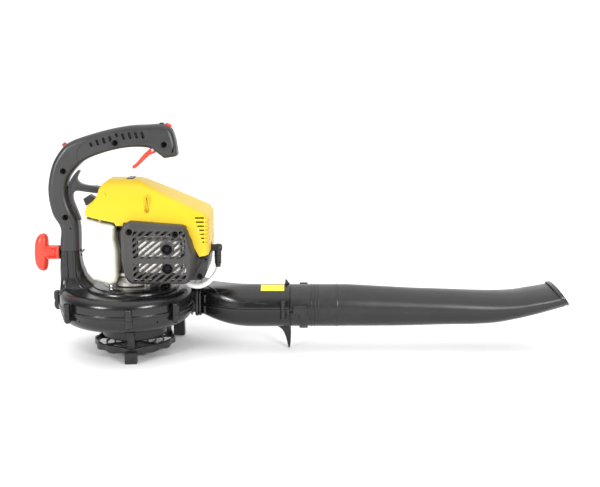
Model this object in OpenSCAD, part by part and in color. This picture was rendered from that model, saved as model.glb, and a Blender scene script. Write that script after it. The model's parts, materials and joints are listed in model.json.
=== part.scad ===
// Handheld petrol leaf blower. Millimetres, +Z up, +X along the blower tube.
// The origin is on the vertical fan axis, on the floor that the machine stands on.

/* [Fan housing] */
// Scroll wall radius where it is tightest
scroll_start = 106; // [104:0.5:108]
// Largest scroll wall radius
scroll_max = 131; // [128:0.5:133]
// Wall thickness of the moulded shells
wall = 3; // [2.5:0.1:3.5]
// Radius of the air inlet
inlet_r = 50; // [46:1:52]

/* [Blower tube] */
// Outer radius of the blower tube
tube_r = 37.5; // [37:0.1:38]
// Distance of the tube axis behind the handle plane
tube_y = 15; // [13:1:17]
// Height of the tube axis
tube_z = 79; // [78:0.5:80]
// Twist that frees the bayonet, in degrees
twist = 50; // [40:1:50]

/* [Engine] */
// Height of the horizontal cylinder axis
bore_z = 187; // [186:0.5:188]
// Cylinder bore radius
bore_r = 17; // [16:0.5:17.5]
// Crank throw, half the stroke
throw = 16; // [14:0.5:16]

/* [Handle] */
// Half the handle's thickness
grip_half = 17; // [16:0.5:19]
// Wall thickness of the handle shells
grip_wall = 2.6; // [2.2:0.1:3]

/* [Hidden] */
$fn = 48;

// Small gap that keeps neighbouring bodies apart
gap = 0.3;
// Radial running clearance of pins and shafts
run = 0.05;
// Radial clearance of pressed and threaded fits
fit = 0.02;

// Fan housing levels, floor to top, and its split plane
housing_floor = 60;
housing_top = 119;
split_z = 89;
shoulder = 10;
shoulder_low = 68;
shoulder_high = 110;
shaft_hole_r = 22;
scroll_growth = 0.14;
tongue_angle = 372;
throat_angle = 52;

// Outlet stub: its end, its near and far sides, its bottom and top
stub_x = 112;
stub_near = 20;
stub_far = 104;
stub_low = 62;
stub_high = 108;
flange_len = 8;
duct_seam = 81.5;
duct_end = 276;
duct_round = 214;

// Crankshaft stack
shaft_r = 7.5;
thread_r = 5;
web_r = 24;
web_gap = 10;
web_t = 10;
crankcase_low = 150;
crankcase_high = 224;
crankcase_r = 34;
rod_len = 52;
crank_pin_r = 6;
gudgeon_r = 4;
bearing_r = 13;
pin_x = throw + rod_len;
flywheel_r = 38;

// Starter
rope_r = 1.8;
pulley_z = 234;
pulley_r = 25;
grip_z = 179;
guide_r = 4.7;
starter_r = 40;

// Handle
column_top = 184;
trigger_x = 43;
trigger_z = 359;
trigger_pin_r = 2.5;
boss_r = 6;
screw_r = 2;

// ---------------------------------------------------------------- helpers

function catmull(a, b, c, d, t) =
    0.5 * ((2 * b) + (c - a) * t + (2 * a - 5 * b + 4 * c - d) * t * t + (3 * b - a - 3 * c + d) * t * t * t);

// A smooth open curve through the points
function smooth(p, steps = 4) =
    let (n = len(p))
    concat([for (i = [0 : n - 2], s = [0 : steps - 1])
        catmull(p[max(i - 1, 0)], p[i], p[i + 1], p[min(i + 2, n - 1)], s / steps)], [p[n - 1]]);

// The closed counter-clockwise outline moved inwards by d
function inset(p, d) =
    let (n = len(p))
    [for (i = [0 : n - 1])
        let (t = p[(i + 1) % n] - p[(i + n - 1) % n], u = t / norm(t))
        p[i] + d * [-u[1], u[0]]];

function unit(v) = v / norm(v);

// Frames carried along a path without twisting
function sides_along(path, i, side) =
    let (last = len(path) - 1,
         ahead = unit(path[min(i + 1, last)] - path[max(i - 1, 0)]),
         s = unit(side - ahead * (side * ahead)))
    i == last ? [[s, cross(ahead, s)]] : concat([[s, cross(ahead, s)]], sides_along(path, i + 1, s));

// A round solid swept along a path
module sweep(path, r, sides = 10) {
    frames = sides_along(path, 0, [0.1, 1, 0.2]);
    rings = [for (i = [0 : len(path) - 1], k = [0 : sides - 1])
        path[i] + r * (cos(360 * k / sides) * frames[i][0] + sin(360 * k / sides) * frames[i][1])];
    skin(rings, len(path), sides);
}

// A closed solid over rings of points
module skin(points, rings, sides) {
    polyhedron(points, concat(
        [[for (k = [0 : sides - 1]) k]],
        [for (i = [0 : rings - 2], k = [0 : sides - 1])
            let (a = i * sides + k, b = i * sides + (k + 1) % sides)
            [a, a + sides, b + sides, b]],
        [[for (k = [sides - 1 : -1 : 0]) (rings - 1) * sides + k]]));
}

// Extrudes an XZ outline from y0 to y1
module slab(y0, y1) translate([0, y1, 0]) rotate([90, 0, 0]) linear_extrude(y1 - y0) children();

// Extrudes a YZ outline from x0 to x1
module along_x(x0, x1) translate([x0, 0, 0]) rotate([90, 0, 90]) linear_extrude(x1 - x0) children();

module rod_z(r, z0, z1) translate([0, 0, z0]) cylinder(r = r, h = z1 - z0);
module rod_x(r, x0, x1) translate([x0, 0, 0]) rotate([0, 90, 0]) cylinder(r = r, h = x1 - x0);
module rod_y(r, y0, y1) translate([0, y1, 0]) rotate([90, 0, 0]) cylinder(r = r, h = y1 - y0);
module block(low, high) translate(low) cube(high - low);

module ring_z(r_in, r_out, z0, z1) {
    difference() {
        rod_z(r_out, z0, z1);
        rod_z(r_in, z0 - 1, z1 + 1);
    }
}

// Part of a ring round the X axis; angles run from +Y towards +Z
module sector_x(r0, r1, x0, x1, a0, a1) {
    rotate([90, 0, 90]) rotate([0, 0, a0])
        rotate_extrude(angle = a1 - a0) translate([r0, x0]) square([r1 - r0, x1 - x0]);
}

// ---------------------------------------------------------------- fan housing

function scroll_r(a) = min(scroll_start + scroll_growth * (360 - a), scroll_max);
function scroll_points(d) =
    [for (a = [throat_angle : 8 : tongue_angle]) (scroll_r(a) - d) * [cos(a), sin(a)]];

module scroll_slab(d, z0, z1) translate([0, 0, z0]) linear_extrude(z1 - z0) polygon(scroll_points(d));

module housing_outer() {
    scroll_slab(shoulder, housing_floor, housing_top);
    scroll_slab(0, shoulder_low, shoulder_high);
    block([60, stub_near, stub_low], [stub_x, stub_far, stub_high]);
    block([stub_x - flange_len, stub_near - 8, stub_low - 8], [stub_x, stub_far + 8, stub_high + 4]);
}

module housing_inner() {
    scroll_slab(shoulder + wall, housing_floor + wall, housing_top - wall);
    scroll_slab(wall, shoulder_low + wall, shoulder_high - wall);
    block([56, stub_near + wall, stub_low + wall], [stub_x + 1, stub_far - wall, stub_high - wall]);
}

rim_angles = [92, 134, 178, 222, 276, 316];
rim_boss_r = 6;
rim_boss_low = 78;
rim_boss_high = 108;

module at_rim() {
    for (a = rim_angles) rotate(a) translate([scroll_r(a) + rim_boss_r - 1, 0, 0]) children();
}

module rim_bosses() at_rim() rod_z(rim_boss_r, rim_boss_low, rim_boss_high);
module rim_holes() at_rim() rod_z(screw_r + run, rim_boss_low - 1, rim_boss_high - 4);

// Bolts that hold the engine's feet down
foot_bolt_r = 2.5;
foot_bolt_circle = 43.5;
module at_foot_bolts() for (a = [45 : 90 : 315]) rotate(a) translate([foot_bolt_circle, 0, 0]) children();

// The column behind the engine that carries the handle, and its hollow
column_outline = [
    [-90, column_top], [-123, column_top], [-125, 150], [-126, 106], [-56, 106], [-56, 119.5], [-66, 124],
    [-77, 134], [-84, 148], [-88, 165]
];
column_hollow = [
    [-93, 180], [-119.5, 180], [-122, 150], [-122, 121], [-70, 121], [-80, 134], [-88, 150], [-91, 165]
];

module column() {
    difference() {
        slab(-grip_half, grip_half) polygon(column_outline);
        slab(-grip_half + wall, grip_half - wall) polygon(column_hollow);
        translate([0, 0, grip_z]) rod_x(guide_r + run, -130, -110);
        block([-97, -1, 171], [-82, 12, column_top + 1]);
    }
}

module fan_housing_upper() {
    color("#1c1c1e") difference() {
        union() {
            difference() {
                union() {
                    housing_outer();
                    rim_bosses();
                }
                housing_inner();
                block([-200, -200, 0], [200, 200, split_z]);
                rod_z(shaft_hole_r, housing_top - wall - 1, housing_top + 1);
            }
            column();
        }
        rim_holes();
        at_foot_bolts() rod_z(foot_bolt_r + run, housing_top - wall - 1, housing_top + 1);
    }
}

// Two feet stand under the back of the housing; the third is on the inlet guard
rear_foot = [66.5, 94];
rear_foot_deep = 8;
foot_half = 10.5;
module rear_feet() {
    color("#17171a") difference() {
        for (side = [-1, 1]) translate([side * rear_foot[0], rear_foot[1], 0])
            block([-foot_half, -rear_foot_deep, 0], [foot_half, rear_foot_deep, shoulder_low]);
        housing_outer();
    }
}

collar_low = 33;
collar_t = 6;

module fan_housing_lower() {
    color("#1c1c1e") difference() {
        union() {
            difference() {
                union() {
                    housing_outer();
                    rim_bosses();
                }
                housing_inner();
                block([-200, -200, split_z], [200, 200, 200]);
            }
            rod_z(inlet_r + collar_t, collar_low, housing_floor + wall);
        }
        rod_z(inlet_r, 0, housing_floor + wall + 1);
        rim_holes();
        at_guard_screws() rod_z(screw_r + run, housing_floor - 1, housing_floor + wall + 1);
    }
}

front_angle = 274;
guard_angles = [34, 154, front_angle];
guard_screw_circle = 64;
module at_guard_screws() for (a = guard_angles) rotate(a) translate([guard_screw_circle, 0, 0]) children();

screw_head_r = 3.6;
module housing_screws() {
    color("#8a8d90") {
        at_rim() {
            rod_z(screw_r, rim_boss_low - 1, rim_boss_high - 5);
            rod_z(screw_head_r, rim_boss_low - 3.5, rim_boss_low - 0.2);
        }
        at_guard_screws() {
            rod_z(screw_r, housing_floor - 14, housing_floor + wall);
            rod_z(screw_head_r, housing_floor + wall + 0.1, housing_floor + wall + 2.6);
        }
    }
}

// ---------------------------------------------------------------- inlet guard

// The guard is an outer rim, three rings and six spokes, on three posts that hang from the housing
guard_low = 13;
guard_high = 21;
guard_rim = [65, 71];
guard_rings = [22, 36, 50];
guard_wire = 1.3;
guard_hub_r = 12;
post_half = 6;
front_foot = [64, 82];
module inlet_guard() {
    color("#17171a") difference() {
        union() {
            ring_z(guard_rim[0], guard_rim[1], guard_low, guard_high);
            for (r = guard_rings) ring_z(r - guard_wire, r + guard_wire, guard_low + 2, guard_high - 1);
            rod_z(guard_hub_r, guard_low + 1, guard_high);
            for (a = [30 : 60 : 330]) rotate(a)
                block([guard_hub_r - 2, -2, guard_low + 2.5], [guard_rim[0] + 2, 2, guard_high - 1.5]);
            for (a = guard_angles) rotate(a)
                block([guard_rim[0] - 5, -post_half, guard_low + 1],
                    [guard_rim[1] - 2, post_half, housing_floor]);
            rotate(front_angle)
                block([front_foot[0], -foot_half, 0], [front_foot[1], foot_half, guard_high - 1]);
        }
        at_guard_screws() rod_z(screw_r + run, housing_floor - 15, housing_floor + 1);
        rod_z(5, 0, 30);
    }
}

// ---------------------------------------------------------------- impeller

blade_count = 14;
blade_in = 42;
blade_out = 95;
blade_sweep = 34;
blade_half = 1.1;
disc_t = 3;
impeller_hub_r = 13;
impeller_low = 73;
impeller_high = 105.5;
function blade_point(t, side) =
    let (r = blade_in + (blade_out - blade_in) * t, a = blade_sweep * t, h = side * blade_half)
    [r * cos(a) - h * sin(a), r * sin(a) + h * cos(a)];

module impeller() {
    color("#2a2a2c") difference() {
        union() {
            rod_z(blade_out + 1, impeller_high - disc_t, impeller_high);
            rod_z(impeller_hub_r, 82, impeller_high);
            for (i = [1 : blade_count]) rotate(360 * i / blade_count)
                translate([0, 0, impeller_low]) linear_extrude(impeller_high - impeller_low - 1)
                    polygon(concat([for (t = [0 : 0.2 : 1]) blade_point(t, 1)],
                                   [for (t = [1 : -0.2 : 0]) blade_point(t, -1)]));
        }
        rod_z(thread_r + fit, 60, 120);
    }
}

module shaft_nuts() {
    color("#9a9ea3") {
        difference() {
            translate([0, 0, 74]) cylinder(r = 8, h = 7.8, $fn = 6);
            rod_z(thread_r + fit, 60, 90);
        }
        difference() {
            translate([0, 0, 240]) cylinder(r = 8, h = 6, $fn = 6);
            rod_z(thread_r + fit, 230, 260);
        }
    }
}

// ---------------------------------------------------------------- outlet duct

module duct_loft(d) {
    hull() {
        block([stub_x, stub_near + 8 + d, stub_low + d], [stub_x + 1, stub_far - 8 - d, stub_high - d]);
        block([stub_x, stub_near + d, stub_low + 8 + d], [stub_x + 1, stub_far - d, stub_high - 8 - d]);
        translate([0, tube_y, tube_z]) rod_x(tube_r + 0.5 - d, duct_round - 1, duct_round + 1, $fn = 32);
    }
}

spigot_r = tube_r - 3.1;
spigot_end = 305;
peg_angles = [230, 50];
peg_r = 3.2;
module duct_outer() {
    duct_loft(0);
    block([stub_x + gap, stub_near - 8, stub_low - 8], [stub_x + 6, stub_far + 8, stub_high + 4]);
    translate([0, tube_y, tube_z]) {
        rod_x(tube_r + 0.5, duct_round, duct_end);
        rod_x(spigot_r, duct_end - 1, spigot_end);
    }
}

module duct_inner() {
    duct_loft(wall);
    translate([0, tube_y, tube_z]) rod_x(spigot_r - wall, duct_round, spigot_end + 1);
}

duct_boss_spots = [[124, 14], [124, 108], [264, tube_y - 42], [264, tube_y + 42]];
module duct_bosses() {
    for (p = duct_boss_spots) translate([p[0], p[1], 0]) rod_z(5, duct_seam - 17, duct_seam + 17);
    block([116, 14, duct_seam - 3], [128, 30, duct_seam + 3]);
    block([116, 94, duct_seam - 3], [128, 108, duct_seam + 3]);
    block([duct_round, tube_y - 43, duct_seam - 3.5], [duct_end - 4, tube_y + 43, duct_seam + 3.5]);
}

module duct_body() {
    difference() {
        union() {
            duct_outer();
            duct_bosses();
        }
        duct_inner();
        for (p = duct_boss_spots) translate([p[0], p[1], 0]) rod_z(screw_r, duct_seam - 13, duct_seam + 13);
    }
}

// A bayonet peg that stands out of the spigot into the tube's channel
module peg(a) {
    translate([(channel_x0 + channel_x1) / 2, tube_y, tube_z]) rotate([a, 0, 0])
        rod_y(peg_r, spigot_r - 1.5, tube_r + 1.5);
}

module duct_upper() {
    color("#1a1a1c") {
        difference() {
            duct_body();
            block([100, -100, 0], [400, 200, duct_seam]);
        }
        peg(peg_angles[1]);
        slab(tube_y - 1.5, tube_y + 1.5) polygon([[268, 116], [duct_end, 116], [duct_end, 127]]);
    }
}

module duct_lower() {
    color("#1a1a1c") {
        difference() {
            duct_body();
            block([100, -100, duct_seam], [400, 200, 300]);
        }
        peg(peg_angles[0]);
        slab(tube_y - 4, tube_y + 4)
            polygon([[250, 43], [262, 36], [268, 20], [272, 0], [277, 0], [278.5, 24], [279, 33], [275, 43]]);
    }
}

// ---------------------------------------------------------------- tube and nozzle

// The tube has two J-shaped bayonet channels in raised ridges
tube_end = 361;
channel_x0 = 296;
channel_x1 = 304;
channel_half = 6;
ridge_half = 12;
ridge_high = 5;
module blower_tube() {
    color("#1a1a1c") translate([0, tube_y, tube_z]) difference() {
        union() {
            rod_x(tube_r, duct_end + gap, tube_end);
            for (a = peg_angles, x = [channel_x0 - 3, duct_end + 6])
                sector_x(tube_r - 1, tube_r + ridge_high, x, channel_x1 + 3, a - twist - ridge_half,
                    x < channel_x0 - 3 ? a - twist + ridge_half : a + ridge_half);
        }
        rod_x(spigot_r + 0.2, duct_end, tube_end + 1);
        for (a = peg_angles, x = [channel_x0, duct_end])
            sector_x(spigot_r - 1, tube_r + ridge_high / 2, x, channel_x1, a - twist - channel_half,
                x < channel_x0 ? a - twist + channel_half : a + channel_half);
    }
}

// Nozzle stations: [x, centre height, half height, half width]
nozzle_stations = [
    [361.3, 79, 37.5, 37.5], [385, 79, 37.2, 37.2], [440, 77.5, 35.5, 36.2], [495, 76.5, 33.5, 36.5],
    [550, 76.5, 31.5, 38], [600, 76, 30, 40], [640, 77, 28, 42], [675, 81, 25, 44], [705, 87, 23, 45.5],
    [735, 94, 20, 46.5], [757, 100.5, 17.5, 47]
];
nozzle_lean = [0, 0, 0, 0, 0, 0, 0, 0, 2, 5, 12];
nozzle_sides = 32;
nozzle_wall = 2.4;
// The nozzle's sleeve reaches back into the tube from here
sleeve_start = 343;

function nozzle_ring(i, d) =
    let (s = nozzle_stations[i])
    [for (k = [0 : nozzle_sides - 1])
        let (a = 360 * k / nozzle_sides)
        [s[0] - nozzle_lean[i] * sin(a), tube_y + (s[3] - d) * cos(a), s[1] + (s[2] - d) * sin(a)]];

module nozzle_skin(d, grow) {
    last = len(nozzle_stations) - 1;
    points = [for (i = [0 : last], p = nozzle_ring(i, d)) p + grow * [i == 0 ? -1 : i == last ? 1 : 0, 0, 0]];
    skin(points, last + 1, nozzle_sides);
}

module nozzle() {
    color("#1a1a1c") difference() {
        union() {
            nozzle_skin(0, 0);
            translate([0, tube_y, tube_z]) rod_x(spigot_r, sleeve_start, tube_end + 2);
        }
        nozzle_skin(nozzle_wall, 1);
        translate([0, tube_y, tube_z]) rod_x(spigot_r - nozzle_wall, sleeve_start - 3, tube_end + 3);
    }
}

// ---------------------------------------------------------------- engine

module crankcase() {
    color("#a8a294") difference() {
        union() {
            rod_z(crankcase_r, crankcase_low, crankcase_high);
            ring_z(flywheel_r + 2, 50, housing_top, 124);
            for (a = [45 : 90 : 315]) rotate(a) block([flywheel_r + 2, -6, 124], [47, 6, 148]);
            rod_z(47, 146, crankcase_low + 1);
            block([0, -26, bore_z - 26], [38, 26, bore_z + 26]);
        }
        rod_z(web_r + 3.5, bore_z - web_gap / 2 - web_t - 0.6, bore_z + web_gap / 2 + web_t + 0.6);
        translate([0, 0, bore_z]) rod_x(bore_r + 0.6, 0, 39);
        rod_z(9, 100, 240);
        rod_z(bearing_r + fit, 156, 166);
        rod_z(bearing_r + fit, 208, 218);
        at_foot_bolts() rod_z(foot_bolt_r + run, 100, 126);
        at_foot_bolts() rod_z(5.6, 124, 133);
    }
}

module engine_bolts() {
    color("#b5b8bb") at_foot_bolts() {
        rod_z(foot_bolt_r, 112, 124.2);
        translate([0, 0, 124.2]) cylinder(r = 5, h = 4.5, $fn = 6);
    }
}

module crankshaft() {
    web_low = bore_z - web_gap / 2 - web_t;
    web_high = bore_z + web_gap / 2;
    color("#9fa3a8") {
        rod_z(thread_r, 70, impeller_high + 1);
        rod_z(shaft_r, impeller_high + 0.5, web_low + 1);
        rod_z(web_r, web_low, web_low + web_t);
        rod_z(web_r, web_high, web_high + web_t);
        rod_z(shaft_r, web_high + web_t - 1, 226);
        rod_z(thread_r, 225, 247.5);
    }
}

module main_bearings() {
    color("#b9bcc0") {
        ring_z(shaft_r + run, bearing_r, 156, 166);
        ring_z(shaft_r + run, bearing_r, 208, 218);
    }
}

module crank_pin() {
    color("#b9bcc0") translate([throw, 0, 0])
        rod_z(crank_pin_r, bore_z - web_gap / 2 + gap, bore_z + web_gap / 2 - gap);
}

module connecting_rod() {
    color("#8f9296") difference() {
        union() {
            translate([throw, 0, 0]) rod_z(10.5, bore_z - 4, bore_z + 4);
            translate([pin_x, 0, 0]) rod_z(7.5, bore_z - 4, bore_z + 4);
            block([throw + 6, -3.5, bore_z - 2.5], [pin_x - 5, 3.5, bore_z + 2.5]);
        }
        translate([throw, 0, 0]) rod_z(crank_pin_r + fit, bore_z - 5, bore_z + 5);
        translate([pin_x, 0, 0]) rod_z(gudgeon_r + fit, bore_z - 5, bore_z + 5);
    }
}

module gudgeon_pin() {
    color("#b9bcc0") translate([pin_x, 0, 0]) rod_z(gudgeon_r, bore_z - 14, bore_z + 14);
}

piston_r = bore_r - run;
piston_back = 57;
piston_crown = 84;
module piston() {
    color("#c3c6ca") difference() {
        translate([0, 0, bore_z]) rod_x(piston_r, piston_back, piston_crown);
        translate([0, 0, bore_z]) rod_x(piston_r - 3, piston_back - 1, piston_crown - 5);
        translate([pin_x, 0, 0]) rod_z(gudgeon_r + fit, bore_z - 14, bore_z + 14);
    }
}

fin_pitch = 7;
fin_t = 2.4;
module cylinder_fins() {
    for (i = [0 : 8]) translate([46 + i * fin_pitch, 0, bore_z]) rod_x(34, 0, fin_t);
}

module cylinder_body() {
    difference() {
        union() {
            translate([0, 0, bore_z]) {
                rod_x(21, 38, 100);
                rod_x(26, 88, 110);
            }
            cylinder_fins();
            block([38, -25, bore_z - 25], [43, 25, bore_z + 25]);
            block([54, -36, bore_z - 29], [90, -17, bore_z + 19]);
            block([60, -14, bore_z + 17], [86, 14, 222]);
        }
        translate([0, 0, bore_z]) {
            rod_x(bore_r, 37, 88);
            rod_x(thread_r + fit, 80, 112);
            rod_y(7, -40, 0);
        }
        translate([72, 0, bore_z]) rod_y(7, -40, 0);
        translate([72, 0, 0]) rod_z(7, bore_z, 230);
        at_muffler_bolts() rod_y(muffler_bolt_r + fit, -40, -20);
    }
}

module cylinder_node() color("#aeb1b4") cylinder_body();

module spark_plug() {
    color("#d9d9d6") translate([0, 0, bore_z]) {
        rod_x(thread_r, 86, 111);
        translate([111, 0, 0]) rotate([0, 90, 0]) cylinder(r = 9, h = 9, $fn = 6);
        rod_x(5.5, 120, 140);
        rod_x(3, 139, 146);
    }
}

boot_x = 150;
boot_r = 7.4;
module plug_boot() {
    color("#151517") difference() {
        union() {
            translate([0, 0, bore_z]) rod_x(boot_r, 126, 154.5);
            translate([154.5, 0, bore_z]) rotate([0, 90, 0]) cylinder(r1 = boot_r, r2 = boot_r - 2, h = 3.5);
            translate([boot_x, 0, 0]) rod_z(6.2, 152, bore_z);
        }
        translate([0, 0, bore_z]) {
            rod_x(5.6, 125, 141);
            rod_x(3.1, 140, 147);
        }
        translate([boot_x, 0, 0]) rod_z(lead_r + 0.2, 150, 158);
    }
}

lead_r = 4.3;
lead_route = [
    [66, 0, 134], [73, 0, 133.6], [82, -5, 131], [91, -9, 127], [100, -12, 123], [110, -13, 120.5],
    [121, -12, 121], [132, -9, 126], [142, -4, 136], [149, -1, 147], [boot_x, 0, 157]
];
module ht_lead() color("#e9e7e2") sweep(smooth(lead_route, 3), lead_r);

module ignition_coil() {
    color("#26262a") {
        block([flywheel_r + 3, -13, 128], [52, 13, 136]);
        block([50, -11, 125], [66 - gap, 11, 144]);
    }
}

module flywheel() {
    color("#a5a7aa") difference() {
        union() {
            rod_z(flywheel_r, 126, 131);
            ring_z(flywheel_r - 6, flywheel_r, 126, 142);
            rod_z(15, 126, 142);
            for (a = [0 : 30 : 330]) rotate(a) block([14, -1, 130], [flywheel_r - 5, 1, 138]);
        }
        rod_z(shaft_r + fit, 120, 150);
    }
}

// ---------------------------------------------------------------- starter

module starter_housing() {
    color("#202022") {
        difference() {
            rod_z(starter_r, crankcase_high + gap, 254);
            rod_z(starter_r - 2.5, crankcase_high + 3, 251.5);
            rod_z(10, 220, 240);
            block([-46, pulley_r - 6, pulley_z - 4], [-20, pulley_r + 6, pulley_z + 4]);
        }
        difference() {
            block([-47, pulley_r - 7, pulley_z - 6], [-39, pulley_r + 7, pulley_z + 6]);
            block([-51, pulley_r - 5, pulley_z - 5], [-30, pulley_r + 4, pulley_z + 4]);
        }
    }
}

module starter_pulley() {
    color("#d8d4c8") difference() {
        union() {
            rod_z(pulley_r - rope_r - 0.5, pulley_z - 4, pulley_z + 4);
            rod_z(31, pulley_z - 5.5, pulley_z - 3);
            rod_z(31, pulley_z + 3, pulley_z + 5.5);
        }
        rod_z(9, 220, 250);
    }
}

spring_turns = 4;
function spring_point(a, side) = (12 + 20 * a / (360 * spring_turns) + side * 0.4) * [cos(a), sin(a)];
module recoil_spring() {
    color("#6f7276") translate([0, 0, 241.5]) linear_extrude(6) polygon(concat(
        [for (a = [0 : 15 : 360 * spring_turns]) spring_point(a, 1)],
        [for (a = [360 * spring_turns : -15 : 0]) spring_point(a, -1)]));
}

rope_route = [
    [-6, pulley_r, pulley_z], [-24, pulley_r, pulley_z], [-46, pulley_r - 1, pulley_z - 1.5], [-60, 18, 219],
    [-72, 13, 201], [-82, 9, 186], [-92, 5, 177], [-102, 2, 175.5], [-112, 0, 178], [-127, 0, grip_z]
];
module starter_rope() color("#dedede") sweep(smooth(rope_route, 3), rope_r, 8);

module rope_guide() {
    color("#151517") translate([0, 0, grip_z]) difference() {
        union() {
            rod_x(guide_r, -125, -113);
            rod_x(10.5, -128, -124.5);
        }
        rod_x(rope_r + 1, -130, -110);
    }
}

module starter_grip() {
    color("#d8262b") {
        difference() {
            union() {
                translate([0, 0, grip_z]) rod_x(9.5, -152, -128.4);
                // A cup that covers the rope guide's flange
                translate([0, 0, grip_z]) difference() {
                    rod_x(12.3, -131, -126);
                    rod_x(11, -128.4, -125);
                }
                slab(-8, 8) polygon([[-150, 167], [-129, 168], [-129, 190], [-150, 191]]);
                translate([-158, 0, grip_z]) rotate([0, 3, 0]) {
                    slab(-12, 12) polygon([[-8, -24], [8, -30], [10, 0], [8, 30], [-8, 26], [-12, 0]]);
                    translate([0, 0, 24]) rod_y(9.5, -10, 10);
                    translate([0, 0, -23]) rod_y(9.5, -10, 10);
                }
            }
            translate([0, 0, grip_z]) rod_x(rope_r + 0.4, -160, -120);
        }
    }
}

// ---------------------------------------------------------------- exhaust

muffler_bolt_r = 3;
module at_muffler_bolts() for (z = [166, 199]) translate([72, 0, z]) children();

module muffler() {
    color("#c9c7c2") difference() {
        union() {
            block([20, -70, 154], [96, -38, 216]);
            block([16, -56, 152], [99, -53, 218]);
        }
        block([22, -68, 156], [94, -40, 214]);
        translate([72, 0, bore_z]) rod_y(7, -45, -30);
        at_muffler_bolts() rod_y(muffler_bolt_r + fit, -80, -30);
        translate([30, 0, 160]) rod_y(5, -80, -60);
    }
}

module muffler_gasket() {
    color("#8b8d8f") difference() {
        block([54, -38, bore_z - 29], [90, -36, bore_z + 19]);
        translate([72, 0, bore_z]) rod_y(7, -45, -30);
        at_muffler_bolts() rod_y(muffler_bolt_r + fit, -80, -30);
    }
}

module muffler_bolts() {
    color("#4b4b4d") at_muffler_bolts() {
        rod_y(muffler_bolt_r, -70.5, -22);
        translate([0, -70.5, 0]) rotate([90, 0, 0]) cylinder(r = 5.5, h = 4.5, $fn = 6);
    }
}

grille_outline = [
    [8, 139], [108, 139], [115, 147], [122, 190], [106, 236], [98, 239], [11, 246], [-1, 240], [-5, 226],
    [-5, 180], [0, 150]
];
grille_face = -78;
grille_back = -52;
grille_slope = 39;
grille_banks = [[[15, 144.5], [103, 175]], [[15, 184], [102.5, 230]]];
grille_pitch = 12.6;
grille_slot = 5;
grille_screws = [[10, 228.5], [86, 224.5]];

module grille_bars(bank) {
    slab(grille_face - 1, grille_face + 5) intersection() {
        translate(bank[0]) square(bank[1] - bank[0]);
        for (x = [-60 : grille_pitch : 130]) translate([x, bank[0][1]]) rotate(grille_slope)
            translate([-20, -grille_slot / 2]) square([110, grille_slot]);
    }
}

module muffler_cover() {
    color("#3a3a3c") difference() {
        slab(grille_face, grille_back) polygon(grille_outline);
        difference() {
            slab(grille_face + wall, grille_back + 1) polygon(inset(grille_outline, wall));
            for (p = grille_screws) translate([p[0], 0, p[1]]) rod_y(6, grille_face, grille_back);
        }
        slab(cover_section[0][0] - 1, grille_back + 1) polygon(inset(cover_outline(0), -1));
        for (bank = grille_banks) grille_bars(bank);
        for (p = grille_screws) translate([p[0], 0, p[1]]) {
            rod_y(5, grille_face - 1, grille_face + 4);
            rod_y(screw_r + run, grille_face, grille_back + 1);
        }
    }
}

// ---------------------------------------------------------------- intake and fuel

throat_x = 72;
arm_pos = [58, 252];
primer_pos = [82, 250];
module intake_spacer() {
    color("#2b2b2d") difference() {
        block([58, -15, 222], [88, 15, 232]);
        translate([throat_x, 0, 0]) rod_z(7, 220, 240);
    }
}

module carburettor() {
    color("#b3b5b6") difference() {
        union() {
            block([54, -17, 232], [90, 17, 258]);
            translate([primer_pos[0], 0, primer_pos[1] - 4]) rod_y(11, 16, 52);
        }
        translate([throat_x - 3, 0, 0]) rod_z(7, 230, 240);
        translate([throat_x - 3, 0, 0]) rod_z(8, 238, 260);
        translate([arm_pos[0], 0, arm_pos[1]]) rod_y(2 + run, 8, 20);
        translate([primer_pos[0], 0, primer_pos[1] - 4]) rod_y(9.3, 42, 53);
    }
}

module throttle_arm() {
    color("#c8c39a") {
        translate([arm_pos[0], 0, arm_pos[1]]) {
            rod_y(2, 10, 21);
            rod_y(4, 18, 20.5);
            rotate([0, 125, 0]) block([-8, 18.3, -2.5], [-1, 20.2, 2.5]);
        }
    }
}

module primer_bulb() {
    color("#c9ccd0") translate([primer_pos[0], 0, primer_pos[1] - 4]) {
        rod_y(9, 49, 58);
        intersection() {
            translate([0, 54, 0]) sphere(r = 9.8);
            rod_y(9, 57.9, 70);
        }
    }
}

clip_x = [-1.5, 8];
module air_filter_box() {
    color("#1f1f21") {
        difference() {
            block([-37, -25, 262], [38, 25, 295]);
            block([-34.5, -22.5, 264.5], [35.5, 22.5, 292.5]);
            translate([0, 0, 272]) rod_x(2.5, -50, -30);
        }
        difference() {
            block([36, -17, 258.2], [88, 17, 272]);
            block([33, -14.5, 260.5], [85.5, 14.5, 269.5]);
            translate([throat_x - 3, 0, 0]) rod_z(8, 250, 262);
        }
        block([clip_x[0], -16, 294], [clip_x[1], 16, cover_high + 0.8]);
    }
}

module air_filter() color("#4a4640") block([-26, -21, 266], [32, 21, 291]);

choke_outline = [[-80, 274], [-76, 262], [-66, 266], [-61, 276], [-69, 281]];
module choke_knob() {
    color("#1b1b1d") {
        slab(-8, 8) polygon(choke_outline);
        translate([0, 0, 272]) rod_x(2.3, -66, -34);
    }
}

tank_outline = [
    [-62, 142], [-30, 131.5], [-20, 136], [-16, 146], [-14, 190], [-19, 212], [-18, 232], [-38, 234],
    [-67, 243], [-75, 237], [-74, 222], [-69, 163]
];
tank_near = -57;
tank_far = -6;
cap_pos = [-56, 170];
module tank_solid(d) {
    difference() {
        slab(tank_near + d, tank_far - d) polygon(inset(tank_outline, d));
        rod_z(crankcase_r + 3 + d, 100, 260);
        rod_z(47 + 2 + d, 100, 152 + d);
        rod_z(starter_r + 2 + d, crankcase_high - 3 - d, 260);
    }
}

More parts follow.
